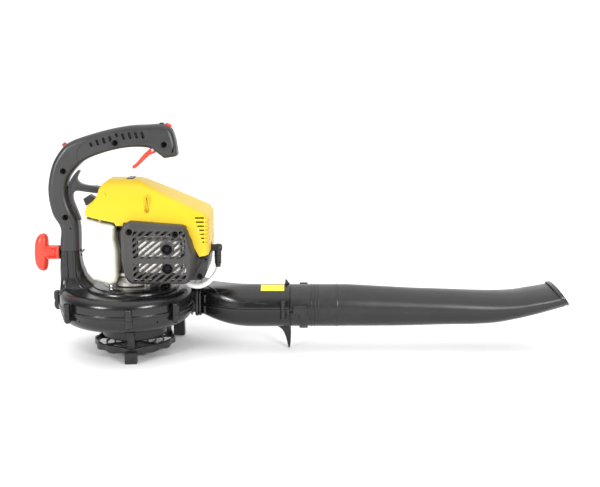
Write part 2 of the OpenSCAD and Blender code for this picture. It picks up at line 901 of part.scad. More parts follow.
module fuel_tank() {
    color("#f1efe6") difference() {
        union() {
            tank_solid(0);
            translate([cap_pos[0], 0, cap_pos[1]]) rod_y(12, tank_far - 2, tank_far + 9);
        }
        tank_solid(2);
        translate([cap_pos[0], 0, cap_pos[1]]) rod_y(10, tank_far - 4, tank_far + 10);
        translate([-44, -46, 0]) rod_z(2.5, 228, 250);
    }
}

module fuel_cap() {
    color("#c9262a") translate([cap_pos[0], 0, cap_pos[1]]) difference() {
        union() {
            rod_y(15, tank_far + 0.8, tank_far + 12);
            for (a = [0 : 30 : 330]) rotate([0, a, 0])
                block([14, tank_far + 1, -1.5], [16.2, tank_far + 12, 1.5]);
        }
        rod_y(12 + 2 * run, tank_far - 1, tank_far + 9.5);
    }
}

fuel_route = [
    [-44, -46, 232], [-44, -46, 243], [-34, -47, 251], [-10, -47, 254], [20, -46, 254], [42, -34, 252],
    [45, -20, 248], [48, -9, 246], [50.5, -6, 245], [53.8, -6, 245]
];
module fuel_line() color("#d8c56a") sweep(smooth(fuel_route, 3), 2.2, 8);

// ---------------------------------------------------------------- covers

// The outline of the top cover from the side; skirt lowers its open edge
cover_end = 139;
cover_high = 310;
function cover_outline(skirt) = [
    [-65, 252 - skirt], [-51, 248 - skirt], [-18, 241.5 - skirt], [-14.5, 236 - skirt], [-4, 236 - skirt],
    [-2, 242 - skirt], [99, 231 - skirt], [124, 183 - skirt], [cover_end, 186 - skirt], [cover_end, 247],
    [133, 256.5], [18, cover_high], [-32, cover_high], [-41, 303], [-46, 297], [-48, 286], [-55, 276],
    [-64, 269], [-67, 260]
];
cover_section = [
    [-60, 140], [60, 140], [60, 230], [53, 268], [39, 297], [23, cover_high - 0.1], [-22, cover_high - 0.1],
    [-37, 297], [-52, 268], [-60, 230]
];

module cover_solid(d, skirt) {
    intersection() {
        slab(-62, 62) polygon(inset(cover_outline(skirt), d));
        along_x(-80, 150) polygon(inset(cover_section, d));
    }
}

vent_count = 7;
vent_pitch = 6.8;
vent_low = 207;
vent_end = 133;
cover_screw = [37, 262];
module vents() {
    for (i = [0 : vent_count - 1]) {
        x0 = 129.5 - i * 2;
        z = vent_low + i * vent_pitch;
        block([x0, -70, z], [vent_end, -44, z + 2.6]);
        block([x0, 46, z], [vent_end, 70, z + 2.6]);
    }
}

module top_cover() {
    color("#f5d90a") difference() {
        cover_solid(0, 0);
        cover_solid(wall - 0.4, 30);
        vents();
        translate([0, 0, bore_z]) rod_x(plug_hole_r, 130, 150);
        block([-80, -9.5, 261], [-38, 33, 298]);
        block([clip_x[0] - 1.5, -17.5, 295], [clip_x[1] + 1.5, 17.5, 320]);
        translate([primer_pos[0], 0, primer_pos[1] - 4]) rod_y(12, 30, 70);
        translate([cover_screw[0], 0, cover_screw[1]]) rod_y(screw_r + run, -62, -40);
    }
}

cowl_outline = [
    [100, 139], [124, 139], [131, 144], [135, 155], [cover_end, 183], [122, 181], [112, 196], [100, 218]
];
cowl_hollow = [
    [96, 141.6], [123, 141.6], [129, 146], [132.4, 156], [136.5, 186], [136.5, 230], [96, 230]
];
cowl_half = 50;
cowl_wall = 2.6;
cowl_screw = [123, 147];
plug_hole_r = 11;
module engine_cowl() {
    color("#2c2c2e") {
        difference() {
            slab(-cowl_half, cowl_half) polygon(cowl_outline);
            slab(-cowl_half + cowl_wall, cowl_half - cowl_wall) polygon(cowl_hollow);
            translate([0, 0, bore_z]) rod_x(plug_hole_r, 125, 150);
            translate([cowl_screw[0], 0, cowl_screw[1]]) rod_y(screw_r + run, -cowl_half - 1, -40);
        }
        difference() {
            block([44, 44, 142], [101, cowl_half, 228]);
            block([41, 43, 142 + cowl_wall], [102, cowl_half - cowl_wall, 240]);
            for (z = [152 : 9 : 215]) block([52, 40, z], [94, 60, z + 4]);
        }
    }
}

module cover_screws() {
    color("#2a2a2c") {
        for (p = grille_screws) translate([p[0], 0, p[1]]) {
            rod_y(4.2, grille_face + 1.5, grille_face + 4);
            rod_y(screw_r, grille_face + 3, grille_back - 2);
        }
        translate([cover_screw[0], 0, cover_screw[1]]) {
            rod_y(screw_r, -57, -46);
            rod_y(4, -58.5, -55);
        }
        translate([cowl_screw[0], 0, cowl_screw[1]]) {
            rod_y(screw_r, -51, -44);
            rod_y(3.8, -52.5, -50.2);
        }
    }
}

// ---------------------------------------------------------------- handle

handle_inner = [
    [-90, column_top], [-89, 216], [-91, 236], [-102.5, 260], [-108, 286], [-103, 310], [-88, 329],
    [-70, 343], [-34, 356], [3, 363], [36, 362], [51, 353], [62, 344]
];
handle_outer = [
    [85, 348], [82, 374], [75, 394], [60, 402], [32, 401], [4, 399.5], [-32, 393], [-72, 382], [-96, 373],
    [-112, 361], [-130, 332], [-139, 290], [-134, 250], [-121, 224], [-122.5, 200], [-123, column_top]
];
handle_outline = concat(smooth(handle_inner, 3), smooth(handle_outer, 3));
handle_screw_spots = [[63, 368], [-20, 371], [-110, 323], [-110, 243]];

module handle_half(side) {
    edge = 3.5;
    lo = side < 0 ? -grip_half : 0;
    hi = side < 0 ? 0 : grip_half;
    core_lo = side < 0 ? -grip_half + grip_wall : -1;
    core_hi = side < 0 ? 1 : grip_half - grip_wall;
    difference() {
        union() {
            slab(side < 0 ? lo + edge : lo, side < 0 ? hi : hi - edge) polygon(handle_outline);
            slab(lo, hi) polygon(inset(handle_outline, edge));
        }
        difference() {
            slab(core_lo, core_hi) polygon(inset(handle_outline, grip_wall + 1));
            for (p = handle_screw_spots) translate([p[0], 0, p[1]]) rod_y(boss_r, lo, hi);
            translate([trigger_x, 0, trigger_z]) rod_y(5, side < 0 ? lo : 8.5, side < 0 ? -8.5 : hi);
        }
        for (p = handle_screw_spots) translate([p[0], 0, p[1]]) {
            rod_y(screw_r + run, side < 0 ? lo : -1, side < 0 ? 1 : 13);
            if (side < 0) rod_y(5, lo - 1, lo + 5);
        }
        translate([trigger_x, 0, trigger_z]) rod_y(trigger_pin_r + 0.03, -14, 14);
        block([20, -4.5, 338], [54, 4.5, 372]);
        translate([trigger_x, 0, trigger_z]) rod_y(7, -8.5, 8.5);
        translate([70, 0, 397]) rotate([0, 24, 0]) block([-12, -4.5, -8], [9, 4.5, 12]);
        block([-116, 5, 284], [-94, 13, 298]);
    }
}

module handle_left() color("#38383b") handle_half(-1);
module handle_right() {
    color("#38383b") difference() {
        handle_half(1);
        translate([lock_pos[0], 0, lock_pos[1]]) rod_y(3 + run, 12, 20);
    }
}

module handle_screws() {
    color("#1d1d1f") for (p = handle_screw_spots) translate([p[0], 0, p[1]]) {
        rod_y(4.2, -grip_half + 2, -grip_half + 5);
        rod_y(screw_r, -grip_half + 4.5, 12.5);
    }
}

bracket_outline = [
    [-88, 236], [-93.4, 256], [-99, 272], [-100, 281], [-95, 287], [-80, 286.5], [-62, 284], [-37.4, 281],
    [-37.4, 292], [-55, 294.5], [-81, 299], [-90, 305], [-84, 322], [-87, 324], [-96, 314], [-103, 302],
    [-106.6, 288], [-105.4, 275], [-101, 261], [-92, 243]
];
module support_bracket() color("#232326") slab(-6, 6) polygon(bracket_outline);

module throttle_trigger() {
    color("#d02a28") difference() {
        union() {
            translate([trigger_x, 0, trigger_z]) rod_y(6.2, -3.6, 3.6);
            slab(-3.6, 3.6) polygon([
                [37, 361], [26, 350.5], [14, 336], [6, 329], [8, 325.5], [13, 328], [24, 339], [35, 349],
                [47, 354]
            ]);
        }
        translate([trigger_x, 0, trigger_z]) rod_y(trigger_pin_r + 0.08, -5, 5);
    }
}

module trigger_pin() {
    color("#b9bcc0") translate([trigger_x, 0, trigger_z]) rod_y(trigger_pin_r, -13.5, 13.5);
}

module trigger_spring() {
    color("#8f9296") translate([trigger_x, 0, trigger_z]) difference() {
        rod_y(4.4, 5, 8);
        rod_y(3, 4, 9);
    }
}

lock_pos = [-104, 352];
module throttle_lock() {
    color("#d02a28") translate([lock_pos[0], 0, lock_pos[1]]) {
        rod_y(3, 14.5, 18);
        rod_y(10, grip_half + gap, grip_half + 5);
        rotate([0, -38, 0]) block([-4, grip_half + 0.6, 5], [4, grip_half + 4.6, 20]);
    }
}

module stop_switch() {
    color("#d02a28") translate([70, 0, 397]) rotate([0, 24, 0]) {
        block([-7.5, -4, -6], [4, 4, 5]);
    }
}

cable_route = [
    [30, 0, 378], [4, 0, 387], [-21, 0, 385], [-52, 0, 377], [-80, 0, 366], [-104, 0, 352], [-120, 0, 334],
    [-126, 0, 318], [-127, 0, 302], [-120, 4, 293], [-105, 9, 291], [-84, 10, 293], [-66, 14, 293],
    [-56, 22, 291], [-48, 29, 288], [-36, 32, 283], [-10, 34, 276], [20, 34, 266], [38, 31, 258],
    [48, 27, 254]
];
module throttle_cable() color("#141416") sweep(smooth(cable_route, 3), 2, 8);

// ---------------------------------------------------------------- output

fan_housing_upper();
fan_housing_lower();
rear_feet();
housing_screws();
inlet_guard();
impeller();
shaft_nuts();
duct_upper();
duct_lower();
blower_tube();
nozzle();
crankcase();
engine_bolts();
crankshaft();
main_bearings();
crank_pin();
connecting_rod();
gudgeon_pin();
piston();
cylinder_node();  // cylinder
spark_plug();
plug_boot();
ht_lead();
ignition_coil();
flywheel();
starter_housing();
starter_pulley();
recoil_spring();
starter_rope();
rope_guide();
starter_grip();
muffler();
muffler_gasket();
muffler_bolts();
muffler_cover();
intake_spacer();
carburettor();
throttle_arm();
primer_bulb();
air_filter_box();
air_filter();
choke_knob();
fuel_tank();
fuel_cap();
fuel_line();
top_cover();
engine_cowl();
cover_screws();
handle_left();
handle_right();
handle_screws();
support_bracket();
throttle_trigger();
trigger_pin();
trigger_spring();
throttle_lock();
stop_switch();
throttle_cable();
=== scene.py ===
import json
import math

import bmesh
import bpy
from mathutils import Matrix, Vector


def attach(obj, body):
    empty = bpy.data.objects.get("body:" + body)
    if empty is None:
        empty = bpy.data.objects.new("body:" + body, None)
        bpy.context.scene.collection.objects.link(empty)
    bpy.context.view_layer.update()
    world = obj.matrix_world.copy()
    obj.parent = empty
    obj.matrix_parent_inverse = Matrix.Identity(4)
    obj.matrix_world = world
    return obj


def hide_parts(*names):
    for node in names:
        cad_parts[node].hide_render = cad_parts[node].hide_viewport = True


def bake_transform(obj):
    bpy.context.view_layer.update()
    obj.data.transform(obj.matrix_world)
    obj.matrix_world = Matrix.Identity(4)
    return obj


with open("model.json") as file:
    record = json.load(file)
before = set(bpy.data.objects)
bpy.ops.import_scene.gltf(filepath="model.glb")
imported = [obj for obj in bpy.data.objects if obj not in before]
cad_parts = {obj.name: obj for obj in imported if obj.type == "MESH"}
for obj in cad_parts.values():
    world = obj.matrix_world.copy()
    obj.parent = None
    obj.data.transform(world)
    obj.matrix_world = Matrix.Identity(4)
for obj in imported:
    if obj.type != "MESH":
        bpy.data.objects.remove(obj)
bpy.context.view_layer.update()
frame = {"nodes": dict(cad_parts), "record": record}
nodes = frame["nodes"]
slot_of = {part["node"]: part["material_slot"] for part in frame["record"]["subparts"]}

# Shapes are written in millimetres and made in metres
MM = 0.001


# ---------------------------------------------------------------- camera

TARGET = Vector((0.294, 0, 0.1941))
CAMERA_DISTANCE = 1.6
CAMERA_ELEVATION = math.radians(11.3)


def aim(obj, place, target):
    """Puts obj at place, with its -Z axis towards target."""
    obj.location = place
    obj.rotation_euler = (Vector(target) - Vector(place)).to_track_quat("-Z", "Y").to_euler()


def add_camera():
    data = bpy.data.cameras.new("camera")
    data.lens = 54.86
    data.sensor_width = 36
    camera = bpy.data.objects.new("camera", data)
    bpy.context.scene.collection.objects.link(camera)
    offset = Vector((0, -math.cos(CAMERA_ELEVATION), math.sin(CAMERA_ELEVATION)))
    aim(camera, TARGET + CAMERA_DISTANCE * offset, TARGET)
    bpy.context.scene.camera = camera


add_camera()


# ---------------------------------------------------------------- outlines and curves

def curve(points, steps):
    """A smooth Catmull-Rom curve through points of two or three coordinates."""
    given = [Vector(p) for p in points]
    last = len(given) - 1
    result = []
    for i in range(last):
        a, b, c, d = (given[min(max(i + k, 0), last)] for k in (-1, 0, 1, 2))
        for s in range(steps):
            t = s / steps
            result.append(0.5 * (2 * b + (c - a) * t + (2 * a - 5 * b + 4 * c - d) * t ** 2
                                 + (3 * b - a - 3 * c + d) * t ** 3))
    return result + [given[-1]]


def fillet(points, radius, step=12):
    """The closed outline with rounded corners; a point may carry its own radius as a third number."""
    corners = [Vector(p[:2]) for p in points]
    radii = [p[2] if len(p) > 2 else radius for p in points]
    result = []
    for i, corner in enumerate(corners):
        back = corners[i - 1] - corner
        ahead = corners[(i + 1) % len(corners)] - corner
        half = back.angle(ahead) / 2
        reach = min(radii[i] / math.tan(half), 0.48 * back.length, 0.48 * ahead.length)
        if reach < 0.05:
            result.append(corner)
            continue
        start = back.normalized() * reach
        end = ahead.normalized() * reach
        centre = (start + end) / (2 * math.cos(half) ** 2)
        turn = math.pi - 2 * half
        count = max(1, math.ceil(math.degrees(turn) / step))
        first = start - centre
        last = end - centre
        for k in range(count + 1):
            t = k / count
            mix = (math.sin((1 - t) * turn) * first + math.sin(t * turn) * last) / math.sin(turn)
            result.append(corner + centre + mix)
    return result


def counter_clockwise(outline):
    area = sum(a.x * b.y - b.x * a.y for a, b in zip(outline, outline[1:] + outline[:1]))
    return outline if area > 0 else outline[::-1]


def inset(outline, distance):
    """The counter-clockwise outline moved inwards, with mitred corners."""
    result = []
    for i, point in enumerate(outline):
        before = (point - outline[i - 1]).normalized()
        after = (outline[(i + 1) % len(outline)] - point).normalized()
        normal = Vector((-before.y - after.y, before.x + after.x))
        result.append(point + normal * distance / max(0.35, normal.length_squared / 2))
    return result


def box_outline(low, high):
    return [(low[0], low[1]), (high[0], low[1]), (high[0], high[1]), (low[0], high[1])]


def polar(radius, degrees):
    """The point at a radius and an angle round the origin."""
    return radius * math.cos(math.radians(degrees)), radius * math.sin(math.radians(degrees))


def circle(centre, radius, count=32):
    angles = [2 * math.pi * k / count for k in range(count)]
    return [Vector((centre[0] + radius * math.cos(a), centre[1] + radius * math.sin(a))) for a in angles]


END_STEPS = 8


def capsule(start, end, radius):
    """The outline of a slot with round ends."""
    a, b = Vector(start), Vector(end)
    heading = math.atan2((b - a).y, (b - a).x)
    result = []
    for middle, side in ((b, -0.5), (a, 0.5)):
        for k in range(END_STEPS + 1):
            angle = heading + math.pi * (side + k / END_STEPS)
            result.append(middle + radius * Vector((math.cos(angle), math.sin(angle))))
    return result


def height_at(outline, x):
    """The second coordinate of an open line of points at x."""
    for a, b in zip(outline, outline[1:]):
        if min(a[0], b[0]) <= x <= max(a[0], b[0]) and a[0] != b[0]:
            return a[1] + (b[1] - a[1]) * (x - a[0]) / (b[0] - a[0])
    return outline[0][1] if x < outline[0][0] else outline[-1][1]


# ---------------------------------------------------------------- solids

def from_bmesh(name, bm):
    mesh = bpy.data.meshes.new(name)
    bm.to_mesh(mesh)
    bm.free()
    obj = bpy.data.objects.new(name, mesh)
    bpy.context.scene.collection.objects.link(obj)
    return obj


def skin(name, rings, wrap=False):
    """A surface over rings of points; wrap joins the last to the first, otherwise both ends are capped."""
    bm = bmesh.new()
    made = [[bm.verts.new(Vector(p) * MM) for p in ring] for ring in rings]
    count = len(rings[0])
    pairs = list(zip(made, made[1:] + ([made[0]] if wrap else [])))
    for low, high in pairs:
        for k in range(count):
            m = (k + 1) % count
            bm.faces.new((low[k], low[m], high[m], high[k]))
    if not wrap:
        for ring in (made[0], made[-1]):
            bm.faces.new(ring)
    bmesh.ops.remove_doubles(bm, verts=bm.verts, dist=1e-6)
    bmesh.ops.dissolve_degenerate(bm, edges=bm.edges, dist=1e-6)
    bmesh.ops.recalc_face_normals(bm, faces=bm.faces)
    if bm.calc_volume(signed=True) < 0:
        bmesh.ops.reverse_faces(bm, faces=bm.faces)
    return from_bmesh(name, bm)


def placed(axis, u, v, level):
    return {"x": (level, u, v), "y": (u, level, v), "z": (u, v, level)}[axis]


def prism(name, outline, low, high, edge=0.0, edge_high=None, axis="y", steps=4):
    """An outline extruded along an axis, with its two rims rounded."""
    outline = counter_clockwise([Vector(p[:2]) for p in outline])
    edge_high = edge if edge_high is None else edge_high
    levels = []
    for level, radius, sign in ((low, edge, 1), (high, edge_high, -1)):
        part = []
        for k in range(steps + 1 if radius else 1):
            angle = math.pi / 2 * (k / steps if radius else 1)
            part.append((level + sign * radius * (1 - math.cos(angle)), radius * (1 - math.sin(angle))))
        levels += part if sign > 0 else part[::-1]
    rings = [[placed(axis, p.x, p.y, level) for p in (inset(outline, depth) if depth else outline)]
             for level, depth in levels]
    return skin(name, rings)


RIM_STEPS = 6


def soft_prism(name, corners, low, high, edge, edge_high):
    """A prism from corner points with radii, whose corners stay sound however deep its rims are rounded."""
    levels = []
    for level, radius, sign in ((low, edge, 1), (high, edge_high, -1)):
        turns = [math.pi / 2 * k / RIM_STEPS for k in range(RIM_STEPS + 1)]
        part = [(level + sign * radius * (1 - math.cos(a)), radius * (1 - math.sin(a))) for a in turns]
        levels += part if sign > 0 else part[::-1]
    corners = counter_clockwise([Vector(c) for c in corners])
    rings = []
    for level, depth in levels:
        moved_in = inset([c.xy for c in corners], depth)
        outline = fillet([(p.x, p.y, max(1.5, c.z - depth)) for p, c in zip(moved_in, corners)], 1)
        rings.append([placed("y", p.x, p.y, level) for p in outline])
    return skin(name, rings)


def block(name, low, high, edge, corner=1.0):
    """A box with rounded corners and rims."""
    outline = fillet(box_outline(low[:2], high[:2]), corner, 30)
    return prism(name, outline, low[2], high[2], edge, axis="z", steps=3)


def lathe(name, profile, centre=(0, 0), axis="z", count=64, wrap=False):
    """A profile of (radius, height) turned round an axis through centre."""
    rings = []
    for radius, height in profile:
        rings.append([placed(axis, p.x, p.y, height) for p in circle(centre, max(radius, 1e-4), count)])
    return skin(name, rings, wrap)


def rod(name, radius, low, high, centre=(0, 0), axis="z", count=64):
    """A plain cylinder round an axis through centre."""
    return lathe(name, [(0, low), (radius, low), (radius, high), (0, high)], centre, axis, count)


def tube(name, path, radius, sides):
    """A round solid swept along a path."""
    points = [Vector(p) for p in path]
    side = Vector((0.13, 1, 0.21))
    rings = []
    for i, point in enumerate(points):
        ahead = (points[min(i + 1, len(points) - 1)] - points[max(i - 1, 0)]).normalized()
        side = (side - ahead * side.dot(ahead)).normalized()
        other = ahead.cross(side)
        rings.append([point + radius * (math.cos(a) * side + math.sin(a) * other)
                      for a in (2 * math.pi * k / sides for k in range(sides))])
    return skin(name, rings)


def join(name, objs):
    """One object from several; the others are removed."""
    bm = bmesh.new()
    for obj in objs:
        bm.from_mesh(obj.data)
        bpy.data.objects.remove(obj)
    return from_bmesh(name, bm)


def moved(obj, matrix):
    obj.data.transform(matrix)
    return obj


def turned(obj, degrees, axis="Z", centre=(0, 0, 0)):
    """Turns obj's mesh about an axis through centre, given in millimetres."""
    place = Matrix.Translation(Vector(centre) * MM)
    return moved(obj, place @ Matrix.Rotation(math.radians(degrees), 4, axis) @ place.inverted())


def bake(obj):
    """Applies the object's modifiers."""
    graph = bpy.context.evaluated_depsgraph_get()
    mesh = bpy.data.meshes.new_from_object(obj.evaluated_get(graph))
    obj.modifiers.clear()
    obj.data = mesh
    return obj


def boolean(obj, other, operation):
    modifier = obj.modifiers.new("boolean", "BOOLEAN")
    modifier.operation = operation
    modifier.solver = "MANIFOLD"
    modifier.object = other
    bake(obj)
    bpy.data.objects.remove(other)
    return obj


def add(obj, *others):
    for other in others:
        boolean(obj, other, "UNION")
    return obj


def cut(obj, *others):
    for other in others:
        boolean(obj, other, "DIFFERENCE")
    return obj


BEVEL_ANGLE, SMOOTH_ANGLE = 35, 38


def refine(obj, bevel):
    """Rounds the sharp edges a little and gives flat faces flat shading."""
    if bevel:
        modifier = obj.modifiers.new("bevel", "BEVEL")
        modifier.width = bevel * MM
        modifier.segments = 2
        modifier.limit_method = "ANGLE"
        modifier.angle_limit = math.radians(BEVEL_ANGLE)
        bake(obj)
    obj.data.shade_smooth()
    obj.data.set_sharp_from_angle(angle=math.radians(SMOOTH_ANGLE))
    modifier = obj.modifiers.new("normals", "WEIGHTED_NORMAL")
    modifier.keep_sharp = True
    return bake(obj)


def softened(node, bevel):
    """A copy of a node with its edges rounded."""
    bm = bmesh.new()
    bm.from_mesh(nodes[node].data)
    bmesh.ops.remove_doubles(bm, verts=bm.verts, dist=2e-6)
    bmesh.ops.dissolve_limit(bm, angle_limit=math.radians(1.0), verts=bm.verts, edges=bm.edges)
    return refine(from_bmesh(node + "_fine", bm), bevel)


# ---------------------------------------------------------------- materials

def new_material(name):
    material = bpy.data.materials.new(name)
    material.use_nodes = True
    tree = material.node_tree
    tree.nodes.clear()
    shader = tree.nodes.new("ShaderNodeBsdfPrincipled")
    output = tree.nodes.new("ShaderNodeOutputMaterial")
    tree.links.new(shader.outputs["BSDF"], output.inputs["Surface"])
    return material, tree, shader


def noise(tree, size, stretch=(1, 1, 1), detail=4.0):
    """Noise whose features are about size millimetres across."""
    place = tree.nodes.new("ShaderNodeTexCoord")
    mapping = tree.nodes.new("ShaderNodeMapping")
    mapping.inputs["Scale"].default_value = stretch
    texture = tree.nodes.new("ShaderNodeTexNoise")
    texture.inputs["Scale"].default_value = 1 / (size * MM)
    texture.inputs["Detail"].default_value = detail
    texture.inputs["Roughness"].default_value = 0.55
    tree.links.new(place.outputs["Object"], mapping.inputs["Vector"])
    tree.links.new(mapping.outputs["Vector"], texture.inputs["Vector"])
    return texture.outputs["Fac"]


def remap(tree, value, low, high, to_low=0.0, to_high=1.0):
    node = tree.nodes.new("ShaderNodeMapRange")
    node.inputs["From Min"].default_value = low
    node.inputs["From Max"].default_value = high
    node.inputs["To Min"].default_value = to_low
    node.inputs["To Max"].default_value = to_high
    tree.links.new(value, node.inputs["Value"])
    return node.outputs["Result"]


def maths(tree, operation, a, b):
    node = tree.nodes.new("ShaderNodeMath")
    node.operation = operation
    for socket, value in zip(node.inputs, (a, b)):
        if isinstance(value, (int, float)):
            socket.default_value = value
        else:
            tree.links.new(value, socket)
    return node.outputs["Value"]


def mixed(tree, factor, a, b):
    """Colour a where factor is 0, b where it is 1."""
    node = tree.nodes.new("ShaderNodeMix")
    node.data_type = "RGBA"
    tree.links.new(factor, node.inputs["Factor"])
    colours = [s for s in node.inputs if s.type == "RGBA"]
    for socket, value in zip(colours, (a, b)):
        if isinstance(value, tuple):
            socket.default_value = (*value, 1)
        else:
            tree.links.new(value, socket)
    return [s for s in node.outputs if s.type == "RGBA"][0]


def bumped(tree, height, distance, strength=1.0, normal=None):
    """A bump of up to distance millimetres."""
    node = tree.nodes.new("ShaderNodeBump")
    node.inputs["Distance"].default_value = distance * MM
    node.inputs["Strength"].default_value = strength
    tree.links.new(height, node.inputs["Height"])
    if normal:
        tree.links.new(normal, node.inputs["Normal"])
    return node.outputs["Normal"]


def edges(tree):
    """1 on worn convex edges, 0 on flats."""
    node = tree.nodes.new("ShaderNodeNewGeometry")
    return remap(tree, node.outputs["Pointiness"], 0.515, 0.56)


def upward(tree):
    """1 on surfaces that face up, where dust lies."""
    node = tree.nodes.new("ShaderNodeNewGeometry")
    split = tree.nodes.new("ShaderNodeSeparateXYZ")
    tree.links.new(node.outputs["Normal"], split.inputs["Vector"])
    return remap(tree, split.outputs["Z"], 0.6, 1.0)


def plastic(name, colour, shade, rough, grain, depth, wear=0.35, dust=0.05):
    """Moulded plastic: fine grain, slow colour drift, flow marks, scuffs, worn edges and a little dust."""
    material, tree, shader = new_material(name)
    drift = remap(tree, noise(tree, 60, detail=3), 0.35, 0.65)
    base = mixed(tree, drift, colour, shade)
    worn = maths(tree, "MULTIPLY", edges(tree), remap(tree, noise(tree, 7), 0.42, 0.62, 0, wear))
    lighter = tuple(min(1.0, c * 1.35 + 0.03) for c in colour)
    base = mixed(tree, worn, base, lighter)
    dusty = maths(tree, "MULTIPLY", upward(tree), remap(tree, noise(tree, 22, detail=6), 0.4, 0.75, 0, dust))
    base = mixed(tree, dusty, base, (0.42, 0.40, 0.37))
    tree.links.new(base, shader.inputs["Base Color"])
    scuffs = remap(tree, noise(tree, 3, stretch=(0.12, 1, 0.6), detail=6), 0.6, 0.75, 0, 0.07)
    blotches = remap(tree, noise(tree, 14, detail=5), 0.3, 0.7, rough - 0.03, rough + 0.04)
    total = maths(tree, "ADD", maths(tree, "ADD", blotches, scuffs), maths(tree, "MULTIPLY", dusty, 0.8))
    tree.links.new(total, shader.inputs["Roughness"])
    slow = bumped(tree, noise(tree, 26, detail=1), 0.2, 0.25)
    fine = bumped(tree, noise(tree, grain, detail=3), depth, 0.5, slow)
    tree.links.new(fine, shader.inputs["Normal"])
    shader.inputs["IOR"].default_value = 1.5
    return material


def metal(name, colour, shade, rough, grain, depth, stretch=(1, 1, 1), stain=(0.2, 0.17, 0.14), stains=0.25):
    """Metal: grain along one way, cast or rolled texture, and patches of stain."""
    material, tree, shader = new_material(name)
    base = mixed(tree, remap(tree, noise(tree, 12, detail=6), 0.35, 0.65), colour, shade)
    spots = remap(tree, noise(tree, 9, detail=8), 0.55, 0.75, 0, stains)
    base = mixed(tree, spots, base, stain)
    tree.links.new(base, shader.inputs["Base Color"])
    streaks = remap(tree, noise(tree, grain, stretch=stretch, detail=5), 0.3, 0.7, rough - 0.08, rough + 0.1)
    tree.links.new(maths(tree, "ADD", streaks, maths(tree, "MULTIPLY", spots, 0.6)),
                   shader.inputs["Roughness"])
    height = noise(tree, grain, stretch=stretch, detail=5)
    tree.links.new(bumped(tree, height, depth, 0.7), shader.inputs["Normal"])
    shader.inputs["Metallic"].default_value = 1
    return material


def tank_plastic():
    """Blow-moulded translucent polyethylene, yellower where it is thick."""
    material, tree, shader = new_material("tank_white")
    clouds = remap(tree, noise(tree, 40, detail=4), 0.35, 0.65)
    base = mixed(tree, clouds, (0.74, 0.74, 0.67), (0.70, 0.68, 0.58))
    stain = remap(tree, noise(tree, 16, stretch=(1, 1, 0.35), detail=6), 0.5, 0.8, 0, 0.3)
    base = mixed(tree, stain, base, (0.68, 0.61, 0.42))
    tree.links.new(base, shader.inputs["Base Color"])
    tree.links.new(remap(tree, noise(tree, 5), 0.3, 0.7, 0.34, 0.48), shader.inputs["Roughness"])
    slow = bumped(tree, noise(tree, 18, detail=2), 0.3, 0.4)
    tree.links.new(bumped(tree, noise(tree, 0.8), 0.03, 0.5, slow), shader.inputs["Normal"])
    shader.inputs["Subsurface Weight"].default_value = 0.75
    shader.inputs["Subsurface Radius"].default_value = (1.0, 0.85, 0.5)
    shader.inputs["Subsurface Scale"].default_value = 0.012
    shader.inputs["IOR"].default_value = 1.5
    return material


def rubber(name, colour, rough):
    material, tree, shader = new_material(name)
    bloom = remap(tree, noise(tree, 11, detail=6), 0.4, 0.75, 0, 0.3)
    tree.links.new(mixed(tree, bloom, colour, tuple(c * 1.5 + 0.02 for c in colour)),
                   shader.inputs["Base Color"])
    tree.links.new(remap(tree, noise(tree, 4), 0.3, 0.7, rough - 0.08, rough + 0.1),
                   shader.inputs["Roughness"])
    tree.links.new(bumped(tree, noise(tree, 0.7, detail=5), 0.05, 0.7), shader.inputs["Normal"])
    shader.inputs["Sheen Weight"].default_value = 0.08
    return material


def foam():
    material, tree, shader = new_material("filter_foam")
    place = tree.nodes.new("ShaderNodeTexCoord")
    cells = tree.nodes.new("ShaderNodeTexVoronoi")
    cells.inputs["Scale"].default_value = 700
    tree.links.new(place.outputs["Object"], cells.inputs["Vector"])
    depth = cells.outputs["Distance"]
    tree.links.new(mixed(tree, depth, (0.10, 0.09, 0.08), (0.03, 0.028, 0.025)), shader.inputs["Base Color"])
    tree.links.new(bumped(tree, depth, 0.8), shader.inputs["Normal"])
    shader.inputs["Roughness"].default_value = 0.9
    return material


def braid():
    """Twisted starter rope: slanting strands that follow the rope's length, with painted shade in the grooves
    between them.
    """
    material, tree, shader = new_material("rope_white")
    place = tree.nodes.new("ShaderNodeTexCoord")
    wave = tree.nodes.new("ShaderNodeTexWave")
    wave.bands_direction = "DIAGONAL"
    wave.inputs["Scale"].default_value = 260
    wave.inputs["Distortion"].default_value = 1.2
    tree.links.new(place.outputs["Object"], wave.inputs["Vector"])
    # Painted shade: the grooves between the strands are coloured darker than their crowns, following the bump
    tree.links.new(mixed(tree, wave.outputs["Fac"], (0.42, 0.41, 0.38), (0.8, 0.79, 0.75)),
                   shader.inputs["Base Color"])
    tree.links.new(bumped(tree, wave.outputs["Fac"], 0.5), shader.inputs["Normal"])
    shader.inputs["Roughness"].default_value = 0.8
    return material


def clear_bulb():
    material, tree, shader = new_material("bulb_clear")
    tree.links.new(mixed(tree, noise(tree, 5), (0.85, 0.87, 0.88), (0.7, 0.73, 0.72)),
                   shader.inputs["Base Color"])
    tree.links.new(remap(tree, noise(tree, 3), 0.3, 0.7, 0.12, 0.28), shader.inputs["Roughness"])
    shader.inputs["Transmission Weight"].default_value = 0.6
    shader.inputs["IOR"].default_value = 1.45
    return material


